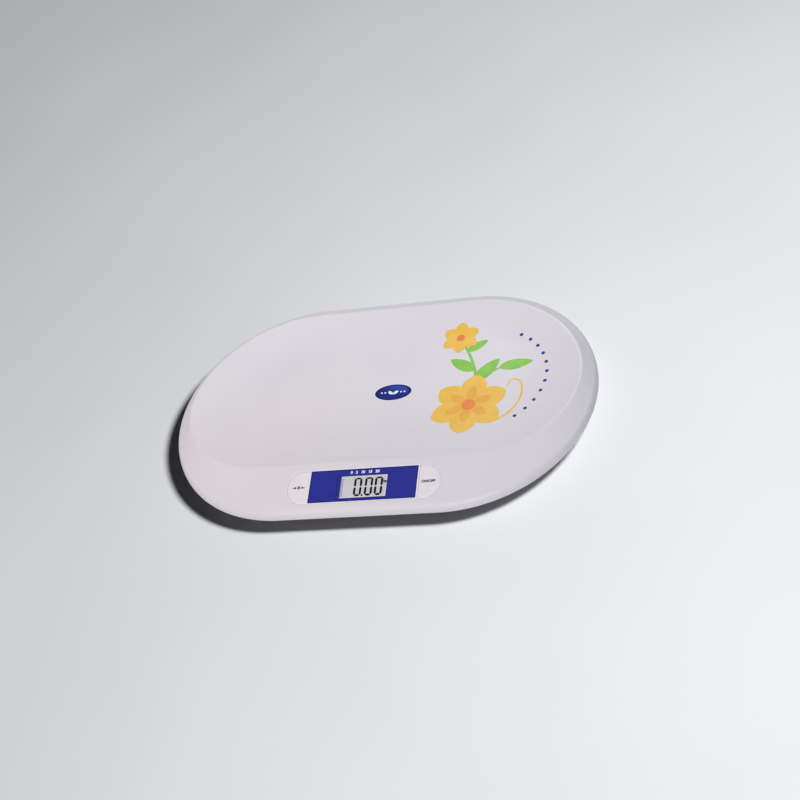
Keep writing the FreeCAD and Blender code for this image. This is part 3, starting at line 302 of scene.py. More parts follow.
def ring_solid(name: str, rings: Array, low_pole: Array, high_pole: Array) -> Piece:
    """Make a closed solid: quads between stacked rings, and a fan from each end ring to its pole.

    Args:
        name: the piece's name.
        rings: an array of rings by points by 3, in metres.
        low_pole: the point that closes the first ring.
        high_pole: the point that closes the last ring.

    Returns:
        The solid, its faces outwards.
    """
    count, columns, _ = rings.shape
    points = np.vstack([rings.reshape(-1, 3), low_pole[None], high_pole[None]])
    quads = grid_faces(count, columns, True).tolist()
    low, high = count * columns, count * columns + 1
    around = np.arange(columns)
    after = (around + 1) % columns
    last = (count - 1) * columns
    first_fan = np.stack([after, around, np.full(columns, low)], -1).tolist()
    last_fan = np.stack([last + around, last + after, np.full(columns, high)], -1).tolist()
    new = make_object(name, points, quads + first_fan + last_fan)
    face_outwards(new)
    return new


def slabs(name: str, parts: list[Slab], smooth: bool = True) -> Piece:
    """Make a piece of closed slabs: an upper and a lower copy of some faces, and a wall round their border.

    Args:
        name: the piece's name.
        parts: each slab's upper points, lower points, faces and border, the last two as vertex numbers.
        smooth: whether the faces are shaded smooth.

    Returns:
        The piece, its faces outwards.
    """
    points, faces, start = [], [], 0
    for top, low, cells, border in parts:
        count = len(top)
        after = np.roll(border, -1)
        walls = np.stack([border, count + border, count + after, after], -1)
        points.extend([top, low])
        for numbers in (cells, count + cells[:, ::-1], walls):
            faces.extend((start + numbers).tolist())
        start += 2 * count
    new = make_object(name, np.vstack(points), faces, smooth)
    face_outwards(new)
    return new


def face_outwards(piece: Piece) -> None:
    """Recalculate the normals of a closed mesh so that they point out."""
    work = bmesh.new()
    work.from_mesh(piece.data)
    bmesh.ops.recalc_face_normals(work, faces=work.faces)
    work.to_mesh(piece.data)
    work.free()


def baked_mesh(piece: Piece) -> bpy.types.Mesh:
    """Return a new mesh of the piece with its modifiers and text outlines worked out."""
    graph = bpy.context.evaluated_depsgraph_get()
    return bpy.data.meshes.new_from_object(piece.evaluated_get(graph), depsgraph=graph)


def mark_sharp(piece: Piece, degrees: float) -> None:
    """Shade smooth except across edges that turn more than the given angle."""
    piece.data.set_sharp_from_angle(angle=math.radians(degrees))


def dress(piece: Piece, material: bpy.types.Material) -> None:
    """Give a piece one material."""
    piece.data.materials.clear()
    piece.data.materials.append(material)


def at_height(plan: Array, z: float) -> Array:
    """Return plan points, n by 2, as points at one height."""
    return np.column_stack([plan, np.full(len(plan), z)])


def between(start: Array, end: Array, shares: Array) -> list[Array]:
    """Return the points at each share of the way from start to end."""
    return [start + (end - start) * share for share in shares]


def arc_points(centre: Pair, radius: float, angle: Array) -> Array:
    """Return the points of an arc at the given angles, n by 2."""
    return np.stack([centre[0] + radius * np.cos(angle), centre[1] + radius * np.sin(angle)], -1)


def unit(vectors: Array) -> Array:
    """Return vectors of the same directions and of length 1."""
    return vectors / np.linalg.norm(vectors, axis=1, keepdims=True)


def rounded_corner(before: Array, corner: Array, after: Array, radius: float, steps: int) -> Array:
    """Round a corner with a circular arc, for whole rings of corners at once.

    With unit directions a to the point before and b to the point after, the arc's centre lies on
    their bisector at radius / sin(half the angle between them), and the arc touches both lines.

    Args:
        before: points on the line that comes in, n by 3.
        corner: the sharp corners, n by 3.
        after: points on the line that goes out, n by 3.
        radius: radius of the arc.
        steps: number of points along it.

    Returns:
        An array of steps by n by 3, from the incoming side to the outgoing one.
    """
    a, b = unit(before - corner), unit(after - corner)
    half = np.arccos(np.clip((a * b).sum(1), -1.0, 1.0))[:, None] / 2.0
    axis, across = unit(a + b), unit(b - a)
    centre = corner + axis * radius / np.sin(half)
    turn = np.linspace(-1.0, 1.0, steps)[:, None, None] * (QUARTER - half)[None]
    return centre + radius * (across * np.sin(turn) - axis * np.cos(turn))


# ---------------------------------------------------------------- the tray's outlines


@dataclass(frozen=True)
class Oval:
    """An oval of end arcs, tangent blend arcs towards the front and straight back and front lines.

    Attributes:
        centre: distance of the end arcs' centres from the middle, along X.
        back: their Y.
        end: radius of the end arcs.
        blend: radius of the blend arcs.
    """

    centre: float
    back: float
    end: float
    blend: float

    def mix(self, other: "Oval", share: float | Array) -> "Oval":
        """Return the oval that lies the given share of the way to another."""
        return Oval(*[a + (b - a) * share for a, b in zip(astuple(self), astuple(other))])

    def blend_centre(self, turn: float) -> Pair:
        """Return the centre of the right blend arc."""
        side = self.end - self.blend
        return self.centre + side * math.cos(turn), self.back + side * math.sin(turn)

    def points(self, turn: float, counts: Counts, z: float) -> Array:
        """Walk once round the oval, anticlockwise from the left end of the front line.

        Each of the six stretches has evenly spread points, so ovals with the same counts match.

        Args:
            turn: angle at which an end arc gives way to its blend arc.
            counts: points on the front line, a blend arc, an end arc and the back line.
            z: height of the points.

        Returns:
            An array of n by 3.
        """
        bx, by = self.blend_centre(turn)
        front, blend, end, back = counts

        def line(x: float, y: float, count: int) -> Array:
            """Return points from x to the other side."""
            return np.stack([x - 2 * x * (np.arange(count) / count), np.full(count, y)], -1)

        def arc(x: float, y: float, radius: float, start: float, sweep: float, count: int) -> Array:
            """Return points along an arc."""
            return arc_points((x, y), radius, start + sweep * np.arange(count) / count)

        return at_height(np.vstack([
            line(-bx, by - self.blend, front),
            arc(bx, by, self.blend, -QUARTER, turn + QUARTER, blend),
            arc(self.centre, self.back, self.end, turn, QUARTER - turn, end),
            line(self.centre, self.back + self.end, back),
            arc(-self.centre, self.back, self.end, QUARTER, QUARTER - turn, end),
            arc(-bx, by, self.blend, math.pi - turn, turn + QUARTER, blend),
        ]), z)

    def outside(self, x: Array, y: Array, turn: float) -> Array:
        """Return how far points lie outside the oval; negative inside."""
        x = np.abs(x)
        bx, by = self.blend_centre(turn)
        end_side = np.hypot(np.maximum(x - self.centre, 0.0), y - self.back) - self.end
        blend_side = np.hypot(np.maximum(x - bx, 0.0), y - by) - self.blend
        upper = (y - self.back) * math.cos(turn) > (x - self.centre) * math.sin(turn)
        upper |= (x < self.centre) & (y > self.back)
        return np.where(upper, end_side, blend_side)


@dataclass
class TrayShape:
    """The tray's form, shared by the tray and by the prints that lie on it (millimetres)."""

    turn: float = math.radians(23.2)
    rim: Oval = Oval(100.0, 0.0, 175.0, 175.0)
    crest: Oval = Oval(107.0, 0.0, 153.0, 120.0)
    floor: Oval = Oval(120.0, 40.0, 50.0, 44.0)
    crest_z: float = 50.0
    rim_z: float = 37.0
    skirt_z: float = 28.5
    floor_z: float = 38.0
    wall: float = 2.6
    crest_round: float = 5.0
    rim_round: float = 9.5
    strip_x: float = 5.5
    strip_inset: float = 36.0
    strip_half: float = 98.0
    strip_radius: float = 22.75

    @property
    def slope(self) -> float:
        """Slope of the front deck in radians, from the outlines and heights."""
        side = self.crest.end - self.crest.blend
        front = self.crest.blend - side * math.sin(self.turn)
        return math.atan((self.crest_z - self.rim_z) / (self.rim.end - front))

    def dish_z(self, share: Array | float) -> Array | float:
        """Height of the dish: the depth falls with the square of the way left to the flat floor."""
        return self.floor_z + (self.crest_z - self.floor_z) * (1.0 - share) ** 2

    def dish_ring(self, share: float, counts: Counts, drop: float = 0.0) -> Array:
        """Return the dish's ring at a share of the way from the crest to the flat floor."""
        oval = self.crest.mix(self.floor, share)
        return oval.points(self.turn, counts, float(self.dish_z(share)) - drop)

    def floor_height(self, x: Array, y: Array) -> Array:
        """Find the height of the dish under points, by halving the span of its share again and again.

        Args:
            x: their places along X, in millimetres.
            y: their places along Y.

        Returns:
            The heights in millimetres.
        """
        halvings = 40
        low, high = np.zeros_like(x), np.ones_like(x)
        for _ in range(halvings):
            middle = (low + high) / 2.0
            out = self.crest.mix(self.floor, middle).outside(x, y, self.turn)
            low = np.where(out < 0, middle, low)
            high = np.where(out < 0, high, middle)
        return self.dish_z((low + high) / 2.0)

    def strip_matrix(self) -> Matrix:
        """Return the place of the sloping strip's own frame, in metres."""
        z = self.rim_z + self.strip_inset * math.tan(self.slope)
        where = Vector((self.strip_x, self.strip_inset - self.rim.end, z)) * MM
        return Matrix.Translation(where) @ Matrix.Rotation(self.slope, 4, "X")

    def on_strip(self, points: Array) -> Array:
        """Carry points in the strip's frame (millimetres) into the row frame (metres)."""
        matrix = np.array(self.strip_matrix())
        flat = points.reshape(-1, 3) * MM
        return (flat @ matrix[:3, :3].T + matrix[:3, 3]).reshape(points.shape)


SHAPE = TrayShape()


# ---------------------------------------------------------------- finishes


@dataclass(frozen=True)
class StripFinish(Finish):
    """A sheet on the sloping strip, with bands and frames of other tones that follow the strip's own frame.

    Attributes:
        bands: place along the strip in millimetres, half width and colour of each upright band.
        frames: middle, half sizes, line width and colour of each rectangular frame.
        soft: width of each edge's blur.
    """

    bands: tuple[tuple[float, float, str], ...] = ()
    frames: tuple[tuple[float, float, float, float, float, str], ...] = ()
    soft: float = 0.5

    def colour_socket(self, tree: Tree, place: Socket) -> Socket:
        """Lay soft-edged bands and frames over the drift of the print colour."""
        colour = super().colour_socket(tree, place)
        middle = tuple(SHAPE.strip_matrix().translation)
        _, axes = local_place(tree, place, Location=middle, Rotation=(SHAPE.slope, 0.0, 0.0))

        def away(axis: str, place_mm: float) -> Socket:
            """Return the distance from a place on an axis, in metres."""
            return maths(tree, "ABSOLUTE", maths(tree, "SUBTRACT", axes[axis], place_mm * MM))

        def line(distance: Socket, half: float, tone: str) -> Socket:
            """Lay a tone over the colour where a distance is less than half, in millimetres."""
            ends = ((half - self.soft / 2.0) * MM, (half + self.soft / 2.0) * MM)
            return lay_over(tree, map_range(tree, distance, ends, (1.0, 0.0)), colour, tone)

        for x, half, tone in self.bands:
            colour = line(away("X", x), half, tone)
        for x, y, half_x, half_y, width, tone in self.frames:
            sides = [maths(tree, "SUBTRACT", away(axis, at), half * MM)
                     for axis, at, half in (("X", x, half_x), ("Y", y, half_y))]
            reach = maths(tree, "MAXIMUM", *sides)
            off = maths(tree, "ABSOLUTE", maths(tree, "SUBTRACT", reach, width * MM / 2.0))
            colour = line(off, width / 2.0, tone)
        return colour


@dataclass(frozen=True)
class OvalFinish(Finish):
    """A printed oval badge: a field that lightens to one side, a darker edge and a light rim line.

    Attributes:
        origin_mm: the oval's middle in the row frame.
        half_mm: its half length and half width.
        edge: colour that the field darkens to near its rim.
        rim: colour of the rim line.
    """

    origin_mm: Point = (0.0, 0.0, 0.0)
    half_mm: Pair = (1.0, 1.0)
    edge: str = "#000000"
    rim: str = "#FFFFFF"

    def colour_socket(self, tree: Tree, place: Socket) -> Socket:
        """Mix the field across the oval, then darken and line it by the distance from the middle."""
        vector, axes = local_place(tree, place, Location=tuple(v * MM for v in self.origin_mm),
                                   Scale=(self.half_mm[0] * MM, self.half_mm[1] * MM, 1.0))
        across = add_node(tree, "VectorMath", {0: vector, 1: (0.35, 0.6, 0.0)}, operation="DOT_PRODUCT")
        colour = ramp(tree, across.outputs["Value"], ((0.0, self.colour), (0.55, self.second)))
        flat = add_node(tree, "CombineXYZ", {"X": axes["X"], "Y": axes["Y"]}).outputs["Vector"]
        reach = add_node(tree, "VectorMath", {0: flat}, operation="LENGTH").outputs["Value"]
        for start, end, tone in ((0.72, 0.86, self.edge), (0.935, 0.955, self.rim)):
            colour = lay_over(tree, map_range(tree, reach, (start, end), (0.0, 1.0)), colour, tone)
        return colour


STEEL = {"metallic": 1.0, "grain": Grain.BRUSHED}

FINISHES: dict[str, Finish] = {
    # The underside's ABS: the same white as the tray, more coarsely eroded, drawn at 1.2 mm.
    "cover_plastic": Finish("coarse moulded white ABS", "#D6D3D8", "#D1CED4", 0.55, 1.2, 0.02, 120.0),
    # The strip's bezel: from a polished mould, brighter than the tray.
    "bezel_plastic": Finish("polished white ABS", "#E8E8EE", "#E4E4EB", 0.28, 0.7, 0.003, 50.0),
    # Blue polyester film with a darker border and a darker frame round the window.
    "label_film": StripFinish("printed blue polyester film", "#2A3392", "#27308C", 0.45, 0.5, 0.001, 30.0,
                              specular=0.12, frames=((-0.5, -2.5, 30.75, 14.5, 1.3, "#1F2672"),
                                                     (0.0, 0.0, 66.6, 20.1, 1.5, "#1C2170"))),
    # Clear acrylic: it dims what lies below a little and adds a hard gloss.
    "clear_window": Finish("clear acrylic window", "#0C0E12", "#101216", 0.08, 1.5, 0.0005, 20.0,
                           rough_spread=0.02, alpha=0.07),
    # The display cell: pale grey polariser with a bluish band and a thin line along its left edge.
    "lcd_glass": StripFinish("liquid crystal display glass", "#E8E8EB", "#E2E3E5", 0.4, 0.8, 0.001, 18.0,
                             specular=0.2, bands=((-28.0, 1.7, "#CDD4F2"), (-26.1, 0.35, "#8490BC"))),
    # The display's frame: plain black, with a dull even sheen.
    "dark_plastic": Finish("moulded black ABS", "#1D1E21", "#24262A", 0.5, 0.8, 0.01, 12.0),
    # Carbon-filled silicone: dark grey with no gloss.
    "rubber_strip": Finish("conductive rubber", "#3A3B3F", "#303136", 0.8, 0.6, 0.015, 6.0),
    # Fibreglass board under green solder mask, glossy over a faint weave.
    "board": Finish("green solder mask on fibreglass", "#1E6B3C", "#1A6036", 0.35, 0.5, 0.01, 15.0, coat=0.3),
    # Bright plating, a little cloudy.
    "screw_steel": Finish("zinc plated steel", "#B9BBBE", "#A9ABAF", 0.3, 0.4, 0.004, 3.0, metallic=1.0),
    # A poured drop over the chip: black, smooth and lumpy.
    "black_resin": Finish("potting resin", "#141416", "#1C1C1F", 0.3, 0.8, 0.02, 4.0),
    # Shrunk film, drawn tight and slightly glossy.
    "capacitor_can": Finish("shrink sleeve on an aluminium can", "#23242A", "#1C1D22", 0.35, 0.5, 0.004, 3.0),
    # Drawn metal with fine lines along its length.
    "quartz_can": Finish("drawn nickel silver can", "#B5B4AE", "#A3A29C", 0.25, 0.2, 0.002, 2.0, **STEEL),
    # Dark printed sleeve with a soft gloss.
    "battery_sleeve": Finish("battery shrink sleeve", "#2C2D33", "#3A3B42", 0.3, 0.6, 0.004, 9.0),
    # Warm bright plating over rolled strip and wire.
    "contact_metal": Finish("nickel plated spring steel", "#C4C0B6", "#B3AFA5", 0.28, 0.3, 0.003, 4.0,
                            **STEEL),
    # White-grey sealing rubber over the gauges, dull and soft.
    "silicone": Finish("moulded silicone", "#A9ABB0", "#9D9FA5", 0.6, 0.7, 0.01, 12.0),
    # The badge's film: a thin white edge and a navy field that lightens towards the upper right.
    "badge_film": OvalFinish("printed badge film", "#1D2780", "#3350AE", 0.35, 0.5, 0.001, 12.0, specular=0.2,
                             origin_mm=(15.7, 12.6, 38.5), half_mm=(25.5, 14.0), edge="#181E60",
                             rim="#E4E6F4"),
    # Thermoplastic rubber soles: dull, coarse and a little dusty.
    "foot_rubber": Finish("moulded grey rubber", "#6E7076", "#7A7C82", 0.8, 1.0, 0.03, 9.0),
    # The feet's cups: a matt grey, a shade darker than the cover.
    "foot_plastic": Finish("moulded grey ABS", "#C9C8CE", "#BFBEC5", 0.5, 1.0, 0.012, 20.0),
    # The weighing beams: rolled sheet with lines along it.
    "cell_steel": Finish("rolled spring steel", "#8F9296", "#83868B", 0.35, 0.3, 0.004, 8.0, **STEEL),
    # Acetal pins: a waxy sheen.
    "plunger_plastic": Finish("moulded grey acetal", "#B9BABF", "#AFB0B6", 0.4, 0.8, 0.006, 8.0),
}
# The leads' PVC: smooth, slightly waxy insulation in three colours.
FINISHES |= {"lead_" + tone: Finish(tone + " PVC insulation", first, second, 0.4, 0.5, 0.004, 12.0)
             for tone, first, second in (("red", "#B3202A", "#A51B25"), ("white", "#DAD9D6", "#D0CFCB"),
                                         ("black", "#1E1E21", "#27272B"))}


# ---------------------------------------------------------------- sub-assemblies


@dataclass
class Tray:
    """The moulded tray with its recess for the display strip.

    Attributes:
        counts: points on the outlines' front line, blend arc, end arc and back line.
        ring_counts: rings on the flat floor, on the dish and on the deck.
        floor_span: shares of the way out at which the flat floor's first and last rings lie.
        fine_rings: plain rings from which the dish's rings are worked out.
        skirt_shares: places of the skirt's rings on the way down it.
        round_steps: points across a rounding.
        low_rings: rings on the lower side of the dish.
        low_shares: places of the last rings of the lower side, each on the way to the one before.
        gap, seat, ledge: the recess's clearance, its depth and how far its ledge reaches in.
        lip: width of the skirt's thin lower edge.
        under: how far the lower side's crest lies outside the upper one.
        crest_drop: how far it lies below the upper one, as a multiple of the wall.
        reach: how far the cutter passes below and above the deck.
    """

    shape: TrayShape = field(default_factory=TrayShape)
    counts: Counts = (40, 44, 52, 44)
    ring_counts: tuple[int, int, int] = (12, 44, 26)
    floor_span: Pair = (0.08, 0.94)
    fine_rings: int = 65
    skirt_shares: Point = (0.35, 0.7, 0.93)
    round_steps: int = 12
    low_rings: int = 12
    low_shares: Pair = (0.6, 0.2)
    gap: float = 0.1
    seat: float = 1.2
    ledge: float = 1.05
    lip: float = 0.7
    under: float = 0.26
    crest_drop: float = 1.1
    reach: Pair = (-9.0, 8.0)
    # ABS, injection moulded against a finely spark-eroded steel: a soft satin white with wide, dull
    # highlights; the texture is drawn at 0.9 mm so that it shows at all.
    finish: Finish = Finish("moulded satin white ABS", "#DDD9DE", "#D9D5DC", 0.42, 0.9, 0.006, 160.0,
                            rough_spread=0.03, specular=0.36)

    def outer_rings(self) -> Array:
        """Work out the rings of the upper side, from the middle of the floor to the skirt's lower edge.

        The flat floor's rings are the floor oval drawn in towards its middle; then come the dish, the
        rounded crest, the straight rulings of deck and bevel, the rounded shoulder and the skirt.

        Returns:
            An array of rings by points by 3, in millimetres.
        """
        s = self.shape
        floor_count, _, deck_count = self.ring_counts
        middle = np.array([0.0, s.floor.back, s.floor_z])
        edge = s.dish_ring(1.0, self.counts)
        rings = between(middle, edge, np.linspace(*self.floor_span, floor_count))
        crest = s.crest.points(s.turn, self.counts, s.crest_z)
        rim = s.rim.points(s.turn, self.counts, s.rim_z)
        just_inside = 0.02
        below = s.dish_ring(just_inside, self.counts)
        arc = rounded_corner(below, crest, rim, s.crest_round, self.round_steps)
        width = np.linalg.norm(edge[:, :2] - crest[:, :2], axis=1)
        rings.extend(self.dish_rings(np.linalg.norm(arc[0] - crest, axis=1) / width))
        rings.extend(arc)
        foot = rim.copy()
        foot[:, 2] = s.skirt_z
        shoulder = rounded_corner(crest, rim, foot, s.rim_round, self.round_steps)
        rings.extend(between(arc[-1], shoulder[0], np.linspace(0.0, 1.0, deck_count)[1:-1]))
        rings.extend(shoulder)
        for share in self.skirt_shares:
            ring = foot.copy()
            ring[:, 2] = shoulder[-1][:, 2] + (s.skirt_z - shoulder[-1][:, 2]) * share
            rings.append(ring)
        return np.array(rings)

    def dish_rings(self, first: Array) -> list[Array]:
        """Work out the dish's rings, from a fine stack of plain rings.

        Args:
            first: each column's share where the rounded crest begins; its rings run from 1 to there.

        Returns:
            The rings, each an array of n by 3.
        """
        s = self.shape
        cells = self.fine_rings - 1
        steps = np.linspace(0.0, 1.0, self.fine_rings)
        stack = np.array([s.dish_ring(float(step), self.counts) for step in steps])
        column = np.arange(stack.shape[1])
        rings = []
        for share in np.linspace(1.0, 0.0, self.ring_counts[1])[:-1]:
            actual = first + (1.0 - first) * share
            place = actual * cells
            low = np.clip(place.astype(int), 0, cells - 1)
            part = (place - low)[:, None]
            ring = stack[low, column] * (1.0 - part) + stack[low + 1, column] * part
            ring[:, 2] = s.dish_z(actual)
            rings.append(ring)
        return rings

    def inner_rings(self) -> Array:
        """Return the rings of the lower side, from the skirt's lower edge back to the middle."""
        s = self.shape

        def ring(oval: Oval, inset: float, z: float) -> Array:
            """Return an oval's ring, moved in by inset and centred along Y."""
            return Oval(oval.centre, 0.0, oval.end - inset, oval.blend - inset).points(s.turn, self.counts, z)

        rings = [ring(s.rim, self.lip, s.skirt_z), ring(s.rim, s.wall, s.skirt_z),
                 ring(s.rim, s.wall, s.rim_z - s.wall / 2),
                 ring(s.crest, -self.under, s.crest_z - s.wall * self.crest_drop)]
        for share in np.linspace(0.06, 1.0, self.low_rings):
            rings.append(s.dish_ring(float(share), self.counts, s.wall))
        middle = np.array([0.0, s.floor.back, s.floor_z - s.wall])
        for share in self.low_shares:
            rings.append(middle + (rings[-1] - middle) * share)
        return np.array(rings)

    def pill(self, inset: float, w: float) -> Array:
        """Return the strip's outline, moved in by inset, at a height in its own frame."""
        s = self.shape
        angle = np.linspace(-QUARTER, QUARTER, 48)
        right = arc_points((s.strip_half - s.strip_radius, 0.0), s.strip_radius - inset, angle)
        return at_height(np.vstack([right, -right]), w)

    def cutter(self) -> Piece:
        """Return the stepped pill that is cut out of the deck: recess above, opening below."""
        low, high = self.reach
        rings = [self.pill(self.ledge, low), self.pill(self.ledge, -self.seat),
                 self.pill(-self.gap, -self.seat), self.pill(-self.gap, high)]
        poles = self.shape.on_strip(np.array([[0.0, 0.0, low], [0.0, 0.0, high]]))
        return ring_solid("recess_cutter", self.shape.on_strip(np.array(rings)), *poles)

    def build(self) -> list[Piece]:
        """Build the tray, cut its recess and put it in place of the plain solid.

        Returns:
            A list with the tray.
        """
        s = self.shape
        rings = np.vstack([self.outer_rings(), self.inner_rings()]) * MM
        low, high = (np.array([0.0, s.floor.back, z]) * MM for z in (s.floor_z, s.floor_z - s.wall))
        tray = ring_solid("tray", rings, low, high)
        cutter = self.cutter()
        cut = tray.modifiers.new("recess", "BOOLEAN")
        cut.operation = "DIFFERENCE"
        cut.solver = "EXACT"
        cut.object = cutter
        tray.data = baked_mesh(tray)
        tray.modifiers.clear()
        bpy.data.objects.remove(cutter)
        mark_sharp(tray, 35.0)
        dress(tray, self.finish.build())
        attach(tray, "platform")
        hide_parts("tray_shell")
        return [tray]


@dataclass
class Keys:
    """The two D-shaped keys at the ends of the strip, with softened edges and a faint crown.

    Attributes:
        rim: width of the bezel round a key.
        width: length of a key along the strip.
        top, low: heights of its crown's middle and of its lower side.
        foot: height of the first ring above the lower side.
        edge: radius of its softened edge.
        crown: rise of its dome.
        lean: how far outwards the dome's middle lies.
        corner: radius of its inner corners.
        steps: points on the half circle, a corner, the inner side and each long side.
        ring_counts: rings on the softened edge and on the dome.
    """

    shape: TrayShape = field(default_factory=TrayShape)
    rim: float = 1.15
    width: float = 27.85
    top: float = 0.4
    low: float = -1.2
    foot: float = -0.6
    edge: float = 0.7
    crown: float = 0.25
    lean: float = 1.0
    corner: float = 1.2
    steps: Counts = (40, 6, 12, 4)
    ring_counts: tuple[int, int] = (7, 12)
    # ABS keys from a polished mould: brighter and glossier than the tray around them.
    finish: Finish = Finish("moulded bright white ABS", "#E6E2E7", "#E2DEE4", 0.3, 0.7, 0.003, 40.0,
                            rough_spread=0.03)

    def outline(self, inset: float) -> Array:
        """Return the right-hand D, moved in by inset: a half circle and three straight sides."""
        s = self.shape
        radius = s.strip_radius - self.rim - inset
        start = s.strip_half - self.width + inset
        corner = min(self.corner, radius)
        half_circle, bend, inner, long = self.steps
        angle = np.linspace(-QUARTER, QUARTER, half_circle)
        arc = arc_points((s.strip_half - s.strip_radius, 0.0), radius, angle)
        turn = np.linspace(0.0, QUARTER, bend)
        high = np.stack([start + corner - corner * np.sin(turn), radius - corner + corner * np.cos(turn)], -1)
        low = high[::-1] * np.array([1.0, -1.0])
        side = np.linspace(high[-1], low[0], inner)[1:-1]
        upper = np.linspace(arc[-1], high[0], long)[1:-1]
        lower = np.linspace(low[-1], arc[0], long)[1:-1]
        return np.vstack([arc, upper, high, side, low, lower])

    def build(self) -> list[Piece]:
        """Build both caps.

        The cap is a stack of D outlines: straight sides, a quarter-circle edge of radius edge, then
        outlines drawn in to the middle on a dome that rises by crown.

        Returns:
            The left cap and the right one.
        """
        rings = [at_height(self.outline(0.0), w) for w in (self.low, self.foot)]
        dome = self.top - self.crown
        for turn in np.linspace(0.0, QUARTER, self.ring_counts[0]):
            plan = self.outline(self.edge * (1.0 - math.cos(turn)))
            rings.append(at_height(plan, dome - self.edge + self.edge * math.sin(turn)))
        edge_ring = rings[-1][:, :2]
        middle = np.array([self.shape.strip_half - self.width / 2.0 + self.lean, 0.0])
        for share in np.linspace(0.9, 0.08, self.ring_counts[1]):
            height = dome + self.crown * (1.0 - share ** 2)
            rings.append(at_height(middle + (edge_ring - middle) * share, height))
        poles = at_height(np.array([middle, middle]), 0.0)
        poles[:, 2] = self.low, self.top
        material = self.finish.build()
        made = []
        for name, side, body in (("tare_key_cap", -1, "tare_key"), ("power_key_cap", 1, "power_key")):
            mirror = np.array([side, 1.0, 1.0])
            low, high = self.shape.on_strip(poles * mirror)
            cap = ring_solid(name, self.shape.on_strip(np.array(rings) * mirror), low, high)
            mark_sharp(cap, 40.0)
            dress(cap, material)
            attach(cap, body)
            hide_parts("tare_button" if side < 0 else "power_button")
            made.append(cap)
        return made


@dataclass(frozen=True)
class Words:
    """One line of printed characters on the strip (millimetres).

    Attributes:
        name: the piece's name.
        text: the characters.
        height: height of a capital letter.
        x, y: the middle, along and up the strip.
        ground: height of the surface that they lie on.
        bold: how much each stroke grows to both sides.
    """

    name: str
    text: str
    height: float
    x: float
    y: float
    ground: float
    bold: float


